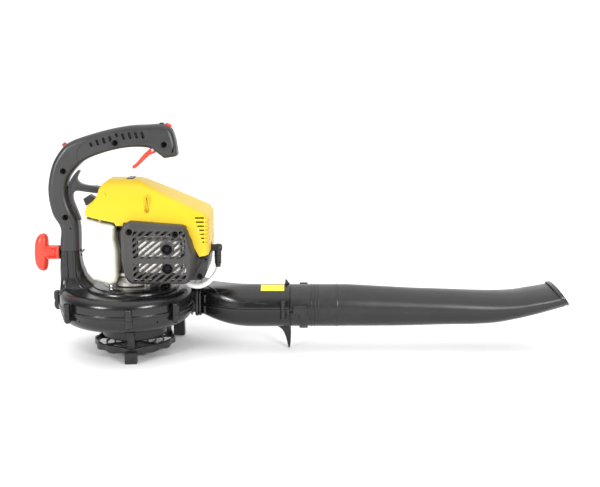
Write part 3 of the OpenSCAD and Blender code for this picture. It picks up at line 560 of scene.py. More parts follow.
# Main and second colour, roughness, grain and its depth in millimetres, wear and dust
PLASTICS = {
    "black_gloss": ((0.003, 0.003, 0.0034), (0.005, 0.005, 0.0054), 0.24, 0.6, 0.003, 0.12, 0.01),
    "black_tube": ((0.006, 0.006, 0.0064), (0.009, 0.009, 0.0094), 0.33, 0.6, 0.005, 0.12, 0.01),
    "black_satin": ((0.005, 0.005, 0.0055), (0.009, 0.009, 0.0095), 0.38, 0.5, 0.01, 0.2, 0.02),
    "grille_grey": ((0.027, 0.026, 0.025), (0.036, 0.034, 0.033), 0.42, 0.5, 0.02, 0.2, 0.02),
    "cowl_grey": ((0.015, 0.015, 0.015), (0.021, 0.021, 0.021), 0.42, 0.5, 0.02, 0.2, 0.02),
    "handle_grey": ((0.017, 0.017, 0.0175), (0.024, 0.024, 0.025), 0.38, 0.6, 0.02, 0.2, 0.02),
    "cover_yellow": ((0.64, 0.43, 0.003), (0.62, 0.41, 0.002), 0.42, 0.7, 0.015, 0.2, 0.01),
    "red_plastic": ((0.62, 0.045, 0.022), (0.56, 0.03, 0.016), 0.34, 0.6, 0.015, 0.2, 0.01),
    "nylon": ((0.60, 0.57, 0.48), (0.52, 0.49, 0.40), 0.45, 0.6, 0.03),
    "plug_ceramic": ((0.86, 0.85, 0.82), (0.78, 0.76, 0.72), 0.2, 0.8, 0.01),
    "coil_black": ((0.018, 0.018, 0.019), (0.03, 0.03, 0.032), 0.45, 0.5, 0.05),
    "label": ((0.92, 0.70, 0.02), (0.88, 0.64, 0.02), 0.3, 0.4, 0.003, 0.35, 0.0),
    "label_edge": ((0.03, 0.03, 0.02), (0.05, 0.05, 0.03), 0.4, 0.4, 0.003, 0.35, 0.0),
}

MATERIALS = {
    **{name: plastic(name, *values) for name, values in PLASTICS.items()},
    "tank_white": tank_plastic(),
    "cast_alloy": metal("cast_alloy", (0.56, 0.54, 0.50), (0.44, 0.42, 0.38), 0.46, 0.9, 0.25),
    "steel": metal("steel", (0.60, 0.60, 0.61), (0.52, 0.52, 0.53), 0.3, 0.5, 0.03, stretch=(0.1, 1, 1)),
    "zinc_steel": metal("zinc_steel", (0.66, 0.67, 0.68), (0.56, 0.57, 0.60), 0.28, 0.6, 0.03, stains=0.1),
    "black_steel": metal("black_steel", (0.02, 0.02, 0.021), (0.014, 0.014, 0.015), 0.5, 0.6, 0.04,
                         stains=0.1),
    "muffler_steel": metal("muffler_steel", (0.78, 0.76, 0.74), (0.58, 0.55, 0.52), 0.3, 1.4, 0.06,
                           stretch=(0.5, 1, 0.2), stain=(0.30, 0.22, 0.16), stains=0.8),
    "boot_rubber": rubber("boot_rubber", (0.006, 0.006, 0.0065), 0.45),
    "lead_white": rubber("lead_white", (0.82, 0.81, 0.78), 0.36),
    "fuel_hose": rubber("fuel_hose", (0.62, 0.50, 0.12), 0.4),
    "rope_white": braid(),
    "filter_foam": foam(),
    "bulb_clear": clear_bulb(),
}


def piece(obj, slot, *replaced, body="root", material=None):
    """Gives a finished piece its material, its body and the nodes it stands for."""
    obj.data.materials.clear()
    obj.data.materials.append(MATERIALS[material or slot])
    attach(obj, body)
    if replaced:
        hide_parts(*replaced)
    return obj


# ---------------------------------------------------------------- fan housing

SPLIT = 89  # where the housing halves meet
GAP = 0.2
WALL = 2.4
INLET_RADIUS = 50
GRIP_Z = 179
PLUG_Z = 187
RIM_ANGLES = (92, 134, 178, 222, 276, 316)
BOSS_OFFSET = 5
REAR_FOOT_X, REAR_FOOT_HALF = 66.5, 10.4
FLOOR_GAP = 0.05
BOSS_RADIUS = 6
SCROLL_STEP = 2
SCROLL_SMALL, SCROLL_LARGE = 106, 131
SCROLL_GROWTH = 0.14  # millimetres a degree
OUTLET_START, OUTLET_END = 12, 52  # degrees
OUTLET_LOW, OUTLET_HIGH = (20, 62), (104, 108)
FLANGE_LOW, FLANGE_HIGH = (14, 57), (112, 110)
OUTLET_FACE = 112


def grown(degrees):
    """The scroll's outer radius where it grows round the fan."""
    return min(SCROLL_SMALL + SCROLL_GROWTH * (360 - degrees), SCROLL_LARGE)


def scroll_radius(degrees):
    """The scroll's outer radius; behind the outlet it runs straight."""
    turn = degrees % 360
    if turn >= OUTLET_END:
        return grown(turn)
    if turn <= OUTLET_START:
        return grown(turn + 360)
    limits = ((OUTLET_START, grown(OUTLET_START + 360)), (OUTLET_END, grown(OUTLET_END)))
    ends = [Vector(polar(1, a)) * r for a, r in limits]
    along = ends[1] - ends[0]
    ray = Vector(polar(1, turn))
    return ends[0].cross(along) / ray.cross(along)


def scroll_ring(depth, z):
    """A level of the scroll, depth millimetres inside its rim."""
    return [(*polar(scroll_radius(a) - depth, a), z) for a in range(0, 360, SCROLL_STEP)]


def round_ring(radius, z):
    return [(*polar(radius, a), z) for a in range(0, 360, SCROLL_STEP)]


def shoulder(depth, z, across, down, start, end):
    """Levels round the quarter of an ellipse whose centre is depth inside the rim at height z."""
    rings = []
    for k in range(9):
        angle = math.radians(start + (end - start) * k / 8)
        rings.append(scroll_ring(depth - across * math.cos(angle), z + down * math.sin(angle)))
    return rings


def outlet(low, high):
    """The square outlet with its bolting flange, between two heights."""
    stub = prism("stub", fillet(box_outline(OUTLET_LOW, OUTLET_HIGH), 9), 60, OUTLET_FACE, axis="x")
    flange = prism("flange", fillet(box_outline(FLANGE_LOW, FLANGE_HIGH), 10), 106, OUTLET_FACE, 1.5,
                   axis="x")
    rib = prism("rib", fillet(box_outline((16, 58), (108, 110)), 10), 98, 101, 1, axis="x")
    add(stub, flange, rib)
    cut(stub, rod("impeller_room", 100, 63, 116, count=96))
    return boolean(stub, block("half", (0, -200, low), (200, 200, high), 0, corner=0), "INTERSECT")


def air_passage():
    low = [v + WALL for v in OUTLET_LOW]
    high = [v - WALL for v in OUTLET_HIGH]
    return prism("air", fillet(box_outline(low, high), 6), 58, OUTLET_FACE + 1, axis="x")


def rim_bosses(profile):
    bosses = []
    for angle in RIM_ANGLES:
        radius = scroll_radius(angle) + BOSS_OFFSET
        bosses.append(lathe("boss", profile, polar(radius, angle), count=24))
        low, high = profile[0][1], profile[-1][1]
        web = block("web", (radius - 14, -3.4, low + 2), (radius - 2, 3.4, high - 2), 0.8)
        rib = block("rib", (radius + 2, -4.2, low + 4), (radius + 6, 4.2, high), 1.2, corner=1.2)
        add(bosses[-1], turned(web, angle), turned(rib, angle))
    return join("bosses", bosses)


def column_rings(inside):
    """Level sections of the rear column, which flares into the scroll."""
    right = curve([(-90, 184), (-89, 166), (-85, 148), (-78, 134), (-66, 124), (-54, 118.5), (-46, 112)], 6)
    rings = []
    low, high = (121, 181) if inside else (108, 184)
    for k in range(25):
        z = low + (high - low) * k / 24
        edge = min((abs(p.y - z), p.x) for p in right)[1] - (WALL if inside else 0)
        left = -123 - 2.5 * min(1, (184 - z) / 34) + (WALL if inside else 0)
        flare = max(0, (140 - z) / 32)
        half = 17 + 16 * flare ** 2.2 - (WALL if inside else 0)
        outline = fillet(box_outline((left, -half), (edge, half)), 7 if inside else 9, 15)
        rings.append([(p.x, p.y, z) for p in outline])
    return rings


def column_ribs(side):
    """Two raised ribs on a side of the column, spreading at the foot."""
    ribs = []
    for top, foot in ((-98, -72), (-112, -122)):
        path = curve([(top, 17, 190), (top, 17, 165), (top, 17.2, 145),
                      (top + (foot - top) * 0.12, 18.2, 132), (top + (foot - top) * 0.45, 22, 120),
                      (foot, 32, 110)], 6)
        ribs.append(tube("rib", [(p.x, side * (p.y - 1), p.z) for p in path], 3, 12))
    return ribs


def build_upper_housing():
    rings = [scroll_ring(0, SPLIT + GAP), scroll_ring(0, 92), scroll_ring(0.5, 92.8), scroll_ring(1.8, 93.2),
             scroll_ring(2.2, 94)]
    rings += shoulder(18, 103, 15.8, 16, 0, 90)
    rings += [scroll_ring(19.4, 118.8), scroll_ring(20.4, 117.9), scroll_ring(21.2, 117.6)]
    for radius, z in ((82, 117.8), (81.2, 118.4), (80.6, 120.8), (79.8, 121.5), (70, 121.8), (69.2, 122.2),
                      (68.6, 123.2), (67.8, 123.6), (52, 123.8), (50.6, 123.2), (50.4, 118.9), (22, 118.9),
                      (22, 116.6)):
        rings.append(round_ring(radius, z))
    rings += shoulder(18, 103, 13.4, 13.6, 90, 0)
    rings.append(scroll_ring(18 - 13.4, SPLIT + GAP))
    shell = skin("fan_housing_top", rings, wrap=True)
    add(shell, outlet(SPLIT + GAP, 150))
    add(shell, skin("column", column_rings(False)))
    add(shell, *column_ribs(-1), *column_ribs(1))
    add(shell, rim_bosses([(0, SPLIT + GAP), (BOSS_RADIUS, SPLIT + GAP), (BOSS_RADIUS, 106.6), (5.2, 108),
                           (3.4, 108), (3.2, 105), (0, 105)]))
    cut(shell, air_passage(), skin("core", column_rings(True)))
    cut(shell, block("top", (-140, -30, 184), (-60, 30, 200), 0, corner=0),
        block("rope_way", (-97, -1, 171), (-82, 12, 190), 0, corner=2),
        rod("guide_hole", 4.7, -130, -110, (0, GRIP_Z), "x", 24))
    piece(refine(shell, 0.7), "black_gloss", "fan_housing_upper")


def build_lower_housing():
    rings = [scroll_ring(0, SPLIT - GAP), scroll_ring(0, 87), scroll_ring(0.5, 86.2), scroll_ring(2, 85.8),
             scroll_ring(2.4, 85)]
    rings += shoulder(27, 80, 24.6, 20, 0, -90)
    for radius, z in ((61, 60), (58.6, 58.6), (57.4, 55), (56.4, 36), (55.8, 33.6), (54.8, 33), (50.8, 33),
                      (INLET_RADIUS, 34), (INLET_RADIUS, 62.6)):
        rings.append(round_ring(radius, z))
    rings += shoulder(27, 80, 22, 17.4, -90, 0)
    rings.append(scroll_ring(5, SPLIT - GAP))
    shell = skin("fan_housing_bottom", rings, wrap=True)
    add(shell, outlet(0, SPLIT - GAP))
    add(shell, rim_bosses([(0, 76), (4.2, 76), (5.4, 77), (BOSS_RADIUS, 79), (BOSS_RADIUS, SPLIT - GAP),
                           (0, SPLIT - GAP)]))
    drains = [turned(rod("hole", 1.6, 90, 140, (0, 79.5), "x", 16), angle) for angle in (232, 300)]
    cut(shell, air_passage(), *drains)
    piece(refine(shell, 0.7), "black_gloss", "fan_housing_lower")


def build_rear_feet():
    """Two blocks whose tops fit under the lower shell."""
    feet = []
    for x in (-REAR_FOOT_X, REAR_FOOT_X):
        foot = block("foot", (x - REAR_FOOT_HALF, 86.1, FLOOR_GAP), (x + REAR_FOOT_HALF, 101.9, 66), 1.6,
                     corner=2)
        room = lathe("room", [(0, 50), (86, 50), (90, 61), (110, 61), (110, 80), (0, 80)], count=96)
        feet.append(cut(foot, room))
    piece(refine(join("rear_feet_fine", feet), 0.5), "black_satin", "rear_feet")


build_upper_housing()
build_lower_housing()
build_rear_feet()


# ---------------------------------------------------------------- inlet guard

FRONT_ANGLE = 274
GUARD_ANGLES = (34, 154, FRONT_ANGLE)
GUARD_WAVES = 12
GUARD_STEPS = 120


def build_guard():
    """A wavy ring with bars across the inlet, on three legs, of which the front one has a foot."""
    ring = []
    for k in range(GUARD_STEPS):
        angle = 2 * math.pi * k / GUARD_STEPS
        wave = math.cos(GUARD_WAVES * (angle - math.radians(FRONT_ANGLE)))
        outer, low = 69.6 + 1.3 * wave, 14.4 - 0.9 * wave
        dip = math.exp(-(math.degrees(angle) - FRONT_ANGLE) ** 2 / 120)
        high = 26.5 + 0.6 * wave - 4.5 * dip
        section = fillet([(65, low), (outer, low), (outer, high), (65, high)], 1.4, 30)
        ring.append([(p.x * math.cos(angle), p.x * math.sin(angle), p.y) for p in section])
    guard = skin("inlet_guard_fine", ring, wrap=True)
    for radius in (22, 36, 50):
        profile = [(p.x, p.y) for p in fillet(box_outline((radius - 1.3, 15), (radius + 1.3, 20)), 0.9, 30)]
        add(guard, lathe("hoop", profile, wrap=True, count=72))
    add(guard, lathe("hub", [(5, 14.6), (11, 14), (12, 15), (12, 20), (11, 21), (5, 20.4)], wrap=True,
                     count=48))
    for angle in range(30, 360, 60):
        add(guard, turned(block("spoke", (10, -1.7, 15.4), (67, 1.7, 19.6), 0.8), angle))
    for angle in GUARD_ANGLES:
        leg = block("leg", (60, -5.9, 14), (68.4, 5.9, 59.8), 0.3, corner=1.2)
        for y in (-5.9, 3.6):
            add(leg, block("ridge", (67, y, 18), (69, y + 2.3, 58), 0.6))
        add(guard, turned(leg, angle))
    foot = block("foot", (64, -10.5, FLOOR_GAP), (82, 10.5, 20), 1.4, corner=2)
    add(guard, turned(foot, FRONT_ANGLE))
    piece(refine(guard, 0.6), "black_satin", "inlet_guard")


build_guard()


# ---------------------------------------------------------------- outlet duct

TUBE_Y, TUBE_Z, TUBE_RADIUS = 15, 79, 37.5
TUBE_AXIS = (TUBE_Y, TUBE_Z)
DUCT_SEAM = 81.5
PEG_ANGLES = (230, 50)
DUCT_START, DUCT_ROUND, DUCT_END = 112.3, 205, 276


# Centre in Y and Z, half width, half height and squareness
SQUARE_END = (62, 85, 42, 23, 5.5)
ROUND_END = (TUBE_Y, TUBE_Z, 38, 38, 2.0)


def duct_shape(x):
    """Centre, half width, half height and squareness of the duct at x."""
    t = min(max((x - OUTLET_FACE) / (DUCT_ROUND - OUTLET_FACE), 0), 1)
    ease = 1 - (1 - t) ** 1.7
    return tuple(a + (b - a) * ease for a, b in zip(SQUARE_END, ROUND_END))


def duct_point(x, angle, grow=0.0):
    y, z, half_y, half_z, power = duct_shape(x)
    c, s = math.cos(angle), math.sin(angle)
    return Vector((x, y + (half_y + grow) * math.copysign(abs(c) ** (2 / power), c),
                   z + (half_z + grow) * math.copysign(abs(s) ** (2 / power), s)))


def duct_side(x, z, grow=0.0):
    """The duct's near surface at height z."""
    y, middle, half_y, half_z, power = duct_shape(x)
    rise = min(abs(z - middle) / half_z, 0.999)
    return Vector((x, y - (half_y + grow) * (1 - rise ** power) ** (1 / power), z))


def duct_skin(name, grow, start, end):
    count = 40
    angles = [2 * math.pi * k / 72 for k in range(72)]
    return skin(name, [[duct_point(start + (end - start) * k / count, a, grow) for a in angles]
                       for k in range(count + 1)])


def seam_strip(low, high):
    """The flange along both sides of the duct where its halves meet."""
    xs = [113 + (272 - 113) * k / 30 for k in range(31)]
    strips = []
    for side in (-1, 1):
        rings = []
        for x in xs:
            y, _, half_y, _, _ = duct_shape(x)
            inner, outer = y + side * (half_y - 2), y + side * (half_y + 2.8)
            ring = [(inner, low), (outer - 0.6 * side, low), (outer, low + 0.7), (outer, high - 0.7),
                    (outer - 0.6 * side, high), (inner, high)]
            rings.append([(x, p[0], p[1]) for p in ring])
        strips.append(skin("strip", rings))
    return strips


DUCT_BOSSES = ((124, 14), (124, 108), (264, -27), (264, 57))


def duct_bosses(low, high, cap):
    """Screw bosses beside the duct; cap is the height of the wider end."""
    made = []
    for x, y in DUCT_BOSSES:
        ends = sorted((low, high))
        made.append(rod("boss", 4.2, *ends, (x, y), count=24))
        brim = sorted((cap, cap + (2.4 if cap < DUCT_SEAM else -2.4)))
        made.append(rod("brim", 5.3, *brim, (x, y), count=24))
        inward = 1 if y < 30 else -1
        web = sorted((y, y + inward * 12))
        made.append(block("web", (x - 3, web[0], ends[0] + 3), (x + 3, web[1], ends[1] - 3), 0.5))
    return made


def duct_flange():
    flange = prism("flange", fillet(box_outline(FLANGE_LOW, FLANGE_HIGH), 12), DUCT_START, 117, 1.3, axis="x")
    return add(flange, prism("neck", fillet(box_outline((17, 59), (107, 110)), 12), 116, 124, 2, axis="x"))


def spigot():
    return lathe("spigot", [(0, 270), (34.4, 270), (34.4, 304), (33.4, 305), (0, 305)], TUBE_AXIS, "x", 96)


def duct_half(name, low, high, node, extras):
    body = duct_skin(name, 0.0, DUCT_START, DUCT_END)
    add(body, duct_flange(), spigot())
    # End collar that the tube butts against
    add(body, lathe("collar", [(30, 270), (38.8, 270.6), (39.2, 271.4), (39.2, 275.3), (38.6, 276),
                               (30, 276)], TUBE_AXIS, "x", 96, wrap=True))
    cut(body, duct_skin("air", -WALL, 112, 258),
        rod("bore", 32, 250, 310, TUBE_AXIS, "x"))
    boolean(body, block("half", (100, -100, low), (400, 200, high), 0, corner=0), "INTERSECT")
    add(body, *extras)
    piece(refine(body, 0.5), "black_gloss", node)


def duct_crease():
    """The raised line where the square part of the duct runs out into the round one."""
    over = [duct_point(x, a, 0.2) for x, a in ((126, 1.75), (136, 2.05), (144, 2.35))]
    fading = ((152, 99), (162, 95), (178, 92.5), (196, 92.5), (208, 94), (222, 91), (240, 90.5))
    along = [duct_side(x, z, 0.2) for x, z in fading]
    return tube("crease", curve(over + along, 5), 1.3, 10)


def duct_fin():
    outline = fillet([(267, 116), (276, 115), (276, 118), (269.5, 127), (268, 126.5)], 0.8)
    return prism("fin", outline, TUBE_Y - 1.4, TUBE_Y + 1.4, 0.8)


def duct_spike():
    """The pointed foot under the duct's end."""
    levels = ((44, 246, 279, 5.5), (41, 252, 278, 4.6), (38, 257, 277.6, 4.2), (34, 262, 277.8, 4),
              (28, 265.5, 278, 3.8), (20, 268.5, 277.8, 3.4), (12, 270.6, 277.3, 2.8), (5, 272, 276.7, 2.2),
              (0.1, 273.2, 275.8, 1.6))
    rings = []
    for z, left, right, half in levels:
        corner = min(half, (right - left) / 2) * 0.8
        outline = fillet(box_outline((left, TUBE_Y - half), (right, TUBE_Y + half)), corner, 22)
        rings.append([(p.x, p.y, z) for p in outline])
    return skin("spike", rings)


def peg(angle):
    """A bayonet peg on the spigot."""
    made = lathe("peg", [(0, 33), (3.2, 33), (3.2, 38.4), (2.6, 39), (0, 39)], (0, 0), "z", 20)
    return moved(turned(made, angle - 90, "X"), Matrix.Translation(Vector((300, TUBE_Y, TUBE_Z)) * MM))


def build_duct():
    low, high = DUCT_SEAM - 0.1, DUCT_SEAM + 0.1
    upper = [*seam_strip(high, 85), *duct_bosses(high, 98, 98.4), duct_crease(), duct_fin(),
             peg(PEG_ANGLES[1])]
    duct_half("duct_top", high, 300, "duct_upper", upper)
    lower = [*seam_strip(78, low), *duct_bosses(65, low, 64.6), duct_spike(), peg(PEG_ANGLES[0])]
    duct_half("duct_bottom", 0, low, "duct_lower", lower)


build_duct()


def build_label():
    """A blank sticker on the round part of the duct."""
    def patch(name, x0, x1, a0, a1, lift):
        rings = []
        for k in range(9):
            x = x0 + (x1 - x0) * k / 8
            outer = [(x, TUBE_Y + (38.05 + lift) * math.cos(a), TUBE_Z + (38.05 + lift) * math.sin(a))
                     for a in (math.radians(a0 + (a1 - a0) * m / 12) for m in range(13))]
            inner = [(x, TUBE_Y + 37.9 * math.cos(a), TUBE_Z + 37.9 * math.sin(a))
                     for a in (math.radians(a1 - (a1 - a0) * m / 12) for m in range(13))]
            rings.append(outer + inner)
        return skin(name, rings)
    piece(refine(patch("label_border", 224, 267, 94, 126, 0.2), 0.1), "black_gloss", material="label_edge")
    piece(refine(patch("label_face", 225, 266, 95.5, 124.5, 0.3), 0.1), "black_gloss", material="label")


build_label()


# ---------------------------------------------------------------- tube and nozzle

TUBE_END = 361
TWIST = 50


def sector(r0, r1, x0, x1, a0, a1, edge=1.2):
    """Part of a ring round the tube's axis, with chamfered edges."""
    count = max(4, int(abs(a1 - a0) / 3))
    rings = []
    for k in range(count + 1):
        a = math.radians(a0 + (a1 - a0) * k / count)
        taper = edge if k in (0, count) else 0
        section = [(x0, r0), (x1, r0), (x1, r1 - edge - taper), (x1 - edge, r1 - taper),
                   (x0 + edge, r1 - taper), (x0, r1 - edge - taper)]
        rings.append([(x, TUBE_Y + r * math.cos(a), TUBE_Z + r * math.sin(a)) for x, r in section])
    return skin("sector", rings)


def build_tube():
    profile = [(34.7, DUCT_END + 0.4), (36.8, DUCT_END + 0.4), (TUBE_RADIUS, DUCT_END + 1.2),
               (TUBE_RADIUS, 357), (38.1, 357.6), (38.1, 360), (37.6, TUBE_END), (34.7, TUBE_END)]
    body = lathe("blower_tube_fine", profile, TUBE_AXIS, "x", 128, wrap=True)
    for a in PEG_ANGLES:
        add(body, sector(36.5, 42.5, 293, 308, a - TWIST - 12, a + 12),
            sector(36.5, 42.5, 281, 300, a - TWIST - 12, a - TWIST + 10))
        cut(body, sector(33.5, 40.2, 296, 304, a - TWIST - 6, a + 6, 0.1),
            sector(33.5, 40.2, 270, 304, a - TWIST - 6, a - TWIST + 6, 0.1))
    for x in (314, 320, 326):
        add(body, lathe("grip_ring", [(37, x - 1.2), (38, x - 0.7), (38.2, x), (38, x + 0.7), (37, x + 1.2)],
                        TUBE_AXIS, "x", 128, wrap=True))
    piece(refine(body, 0.5), "black_gloss", "blower_tube", body="tube", material="black_tube")


NOZZLE_STATIONS = (
    (361.3, 79, 37.5, 37.5, 0), (385, 79, 37.2, 37.2, 0), (440, 77.5, 35.5, 36.2, 0),
    (495, 76.5, 33.5, 36.5, 0), (550, 76.5, 31.5, 38, 0), (600, 76, 30, 40, 0), (640, 77, 28, 42, 0),
    (675, 81, 25, 44, 0), (705, 87, 23, 45.5, 2), (735, 94, 20, 46.5, 5), (757, 100.5, 17.5, 47, 12),
)


def nozzle_rings(grow, lip):
    """Sections of the nozzle; the last few stand out by lip."""
    paths = [curve([(s[0], s[i]) for s in NOZZLE_STATIONS], 6) for i in (1, 2, 3, 4)]
    total = len(paths[0])
    rings = []
    for k in range(total):
        x = paths[0][k].x
        z, half_z, half_y, lean = (path[k].y for path in paths)
        power = 2 + 0.1 * (x - 361) / 396
        extra = grow + (lip if k >= total - 2 else 0)
        ring = []
        for m in range(96):
            angle = 2 * math.pi * m / 96
            c, s = math.cos(angle), math.sin(angle)
            up = math.copysign(abs(s) ** (2 / power), s)
            across = math.copysign(abs(c) ** (2 / power), c)
            ring.append((x - lean * up, TUBE_Y + (half_y + extra) * across, z + (half_z + extra) * up))
        rings.append(ring)
    return rings


def build_nozzle():
    outer = nozzle_rings(0, 0)
    inner = nozzle_rings(-WALL, 0)
    # The rim rolls outwards at the mouth
    lip = []
    for swell, back in ((0.0, 9), (0.9, 7), (1.0, 1.2), (0.2, 0)):
        ring = [(p[0] - back, TUBE_Y + (p[1] - TUBE_Y) * (1 + swell / 47),
                 p[2] + (p[2] - 100.5) * swell / 17.5) for p in outer[-1]]
        lip.append(ring)
    shell = skin("nozzle_fine", outer[:-2] + lip + inner[::-1], wrap=True)
    sleeve = lathe("sleeve", [(32, 343), (34.2, 343), (34.4, 343.4), (34.4, 364), (32, 364)], TUBE_AXIS,
                   "x", 96, wrap=True)
    parting = curve([(s[0] - 1, TUBE_Y - s[3] + 0.15, s[1]) for s in NOZZLE_STATIONS[:-1]], 6)
    other = [(p.x, 2 * TUBE_Y - p.y, p.z) for p in parting]
    add(shell, sleeve, tube("parting", parting, 0.4, 8), tube("parting", other, 0.4, 8))
    piece(refine(shell, 0.3), "black_gloss", "nozzle", body="tube", material="black_tube")


build_tube()
build_nozzle()


# ---------------------------------------------------------------- top cover

COVER_END = 139
COVER_HIGH = 310
COVER_TOP = [(-67, 262), (-64, 269, 5), (-55, 276, 12), (-48, 286, 8), (-46, 297, 6), (-41, 303, 6),
             (-32, COVER_HIGH, 8), (18, COVER_HIGH, 30), (133, 256.5, 9), (COVER_END, 247)]
COVER_BOTTOM = [(-67, 252.5), (-51, 248), (-18, 241.5), (-14.5, 236), (-4, 236), (-2, 242), (99, 231),
                (104, 222), (124, 183), (COVER_END, 186)]
COVER_SIDE = curve([(180, 60), (230, 60), (248, 57.6), (268, 52.6), (284, 46), (297, 38), (305, 31),
                    (COVER_HIGH, 22.5)], 6)
COVER_CORNER = 8
VENTS = 7
VENT_PITCH, VENT_HIGH = 6.8, 2.6
COVER_SCREW = (37, 262)
SCREW_HOLE = 2.05


def cover_section(x, top, low):
    """The cover's skin at x, from its near lower edge over the top to the far one."""
    low = min(low, top - 0.5)
    turn = max(0.0, (x - (COVER_END - COVER_CORNER)) / COVER_CORNER)
    shrink = COVER_CORNER * (1 - math.sqrt(max(0.0, 1 - turn * turn)))
    corner = min(7, 0.45 * (top - low))
    half = []
    for k in range(15):
        z = low + (top - corner - low) * k / 14
        half.append((height_at(COVER_SIDE, z) - shrink, z))
    edge = height_at(COVER_SIDE, top) - shrink
    start, tip, inner = Vector(half[-1]), Vector((edge, top)), Vector((edge - 1.3 * corner, top))
    for k in range(1, 8):
        t = k / 7
        bend = (1 - t) ** 2 * start + 2 * t * (1 - t) * tip + t * t * inner
        half.append((bend.x, bend.y))
    half += [(inner.x * (1 - k / 5), top) for k in range(1, 5)]
    near = [(x, -y, z) for y, z in half]
    far = [(x, y, z) for y, z in half]
    return near + [(x, 0, top)] + far[::-1]


def cover_stations():
    line = [Vector(COVER_TOP[0][:2])]
    line += [p for p in fillet(COVER_TOP + [(COVER_END, 100), (-67, 100)], 0.01, 8)
             if p.y > 240 and p.x > -66.9]
    line = [p for p in line if p.x < COVER_END - 0.01] + [Vector(COVER_TOP[-1][:2])]
    marks = [p.x for p in line] + [p[0] for p in COVER_BOTTOM]
    marks += [COVER_END - COVER_CORNER * (1 - math.sin(a)) for a in (0.2, 0.45, 0.75, 1.1, 1.35)]
    marks += [-64 + 4 * k for k in range(50)]
    marks = sorted(m for m in marks if -67 <= m <= COVER_END)
    chosen = [marks[0]]
    for mark in marks:
        if mark - chosen[-1] > 0.3:
            chosen.append(mark)
    chosen[-1] = COVER_END
    return [(x, height_at(line, x), height_at(COVER_BOTTOM, x)) for x in chosen]


def vent_cutters():
    """Openings on both sides that run on round the right corners as shallow grooves."""
    cutters = []
    for i in range(VENTS):
        low = 207 + VENT_PITCH * i
        x = 129.5 - 2 * i
        for near, far in ((-75, -46), (46, 75)):
            cutters.append(prism("vent", fillet(box_outline((x, low), (133, low + VENT_HIGH)), 0.8), near,
                                 far))
            groove_end = far + (22 if near < 0 else 0)
            groove = block("groove", (134.2, near + 1, low), (160, groove_end, low + VENT_HIGH), 0, corner=0)
            half = height_at(COVER_SIDE, low) - 1.0
            core = block("core", (60, -half, low - 3), (COVER_END - 1.0, half, low + 6), 0,
                         corner=COVER_CORNER)
            cutters.append(cut(groove, core))
    return join("vents", cutters)


def add_screw_recess(cover):
    """A teardrop recess in the near side, with the screw at its round end."""
    x, z = COVER_SCREW
    drop = fillet([(x - 5, z - 5, 5), (x + 5, z - 5, 5), (x + 4, z + 6, 4), (x, z + 25, 0.5),
                   (x - 4, z + 6, 4)], 3)
    add(cover, prism("well", inset(counter_clockwise(drop), -1.2), -53.2, -46))
    cut(cover, prism("drop", drop, -70, -49.2, 0, 0.8),
        prism("screw_hole", circle((x, z), SCREW_HOLE, 16), -60, -30))


def build_cover():
    rings = [cover_section(*station) for station in cover_stations()]
    bm = bmesh.new()
    made = [[bm.verts.new(Vector(p) * MM) for p in ring] for ring in rings]
    for low, high in zip(made, made[1:]):
        for k in range(len(low) - 1):
            bm.faces.new((low[k], low[k + 1], high[k + 1], high[k]))
    bm.faces.new(made[-1])
    bm.faces.new(made[0])
    bmesh.ops.remove_doubles(bm, verts=bm.verts, dist=1e-5)
    bmesh.ops.recalc_face_normals(bm, faces=bm.faces)
    cover = from_bmesh("top_cover_fine", bm)
    modifier = cover.modifiers.new("wall", "SOLIDIFY")
    modifier.thickness = WALL * MM
    modifier.offset = -1
    bake(cover)
    cut(cover, vent_cutters())
    cut(cover, rod("plug_hole", 11, 130, 160, (0, PLUG_Z), "x", 32),
        block("choke_gap", (-90, -9.5, 261), (-38, 33, 298), 0, corner=4),
        block("clip_gap", (-3, -17.5, 295), (9.5, 17.5, 330), 0, corner=1),
        rod("primer_gap", 12, 30, 80, (82, 246), "y", 32))
    add_screw_recess(cover)
    piece(refine(cover, 0.6), "cover_yellow", "top_cover")
    tab = prism("cover_tab", fillet(box_outline((37, 237), (45, 245.5)), 1.5), -61.6, -58, 1)
    bump = lathe("cover_bump", [(0, -47.6), (3, -47), (3.4, -40), (0, -40)], (-36, 286), "y", 20)
    piece(refine(join("cover_tabs", [tab, bump]), 0), "cover_yellow")
    latch = prism("cover_latch", fillet([(-66, 243), (-60, 246), (-58, 250), (-64, 252)], 1), -50, -42, 0.8)
    piece(refine(latch, 0.3), "black_satin")


build_cover()


# ---------------------------------------------------------------- muffler cover and cowl

GRILLE_FACE, GRILLE_BACK = -78, -52
GRILLE_SLOPE = math.radians(39)
GRILLE_BANKS = (((15, 144.5), (103, 175)), ((15, 184), (102.5, 230)))
GRILLE_PITCH = 12.6
GRILLE_SLOT = 4.3
GRILLE_SCREWS = ((10, 228.5), (86, 224.5))
COWL_SCREW = (123, 147)
COWL_HALF = 50
MUFFLER_BOLTS = ((72, 166), (72, 199))


def grille_slots(bank):
    """Slanting slots that fill a bank with rounded corners."""
    (x0, z0), (x1, z1) = bank
    along = Vector((math.cos(GRILLE_SLOPE), math.sin(GRILLE_SLOPE)))
    across = Vector((-along.y, along.x)) * GRILLE_SLOT / 2
    bars = []
    for k in range(16):
        foot = Vector((-60 + GRILLE_PITCH * k, z0))
        ends = (foot - 20 * along, foot + 100 * along)
        outline = [ends[0] - across, ends[1] - across, ends[1] + across, ends[0] + across]
        bars.append(prism("bar", outline, GRILLE_FACE - 1, GRILLE_FACE + 9))
    frame_prism = prism("bank", fillet(box_outline((x0, z0), (x1, z1)), 3), GRILLE_FACE - 2, GRILLE_FACE + 10)
    return boolean(join("bars", bars), frame_prism, "INTERSECT")


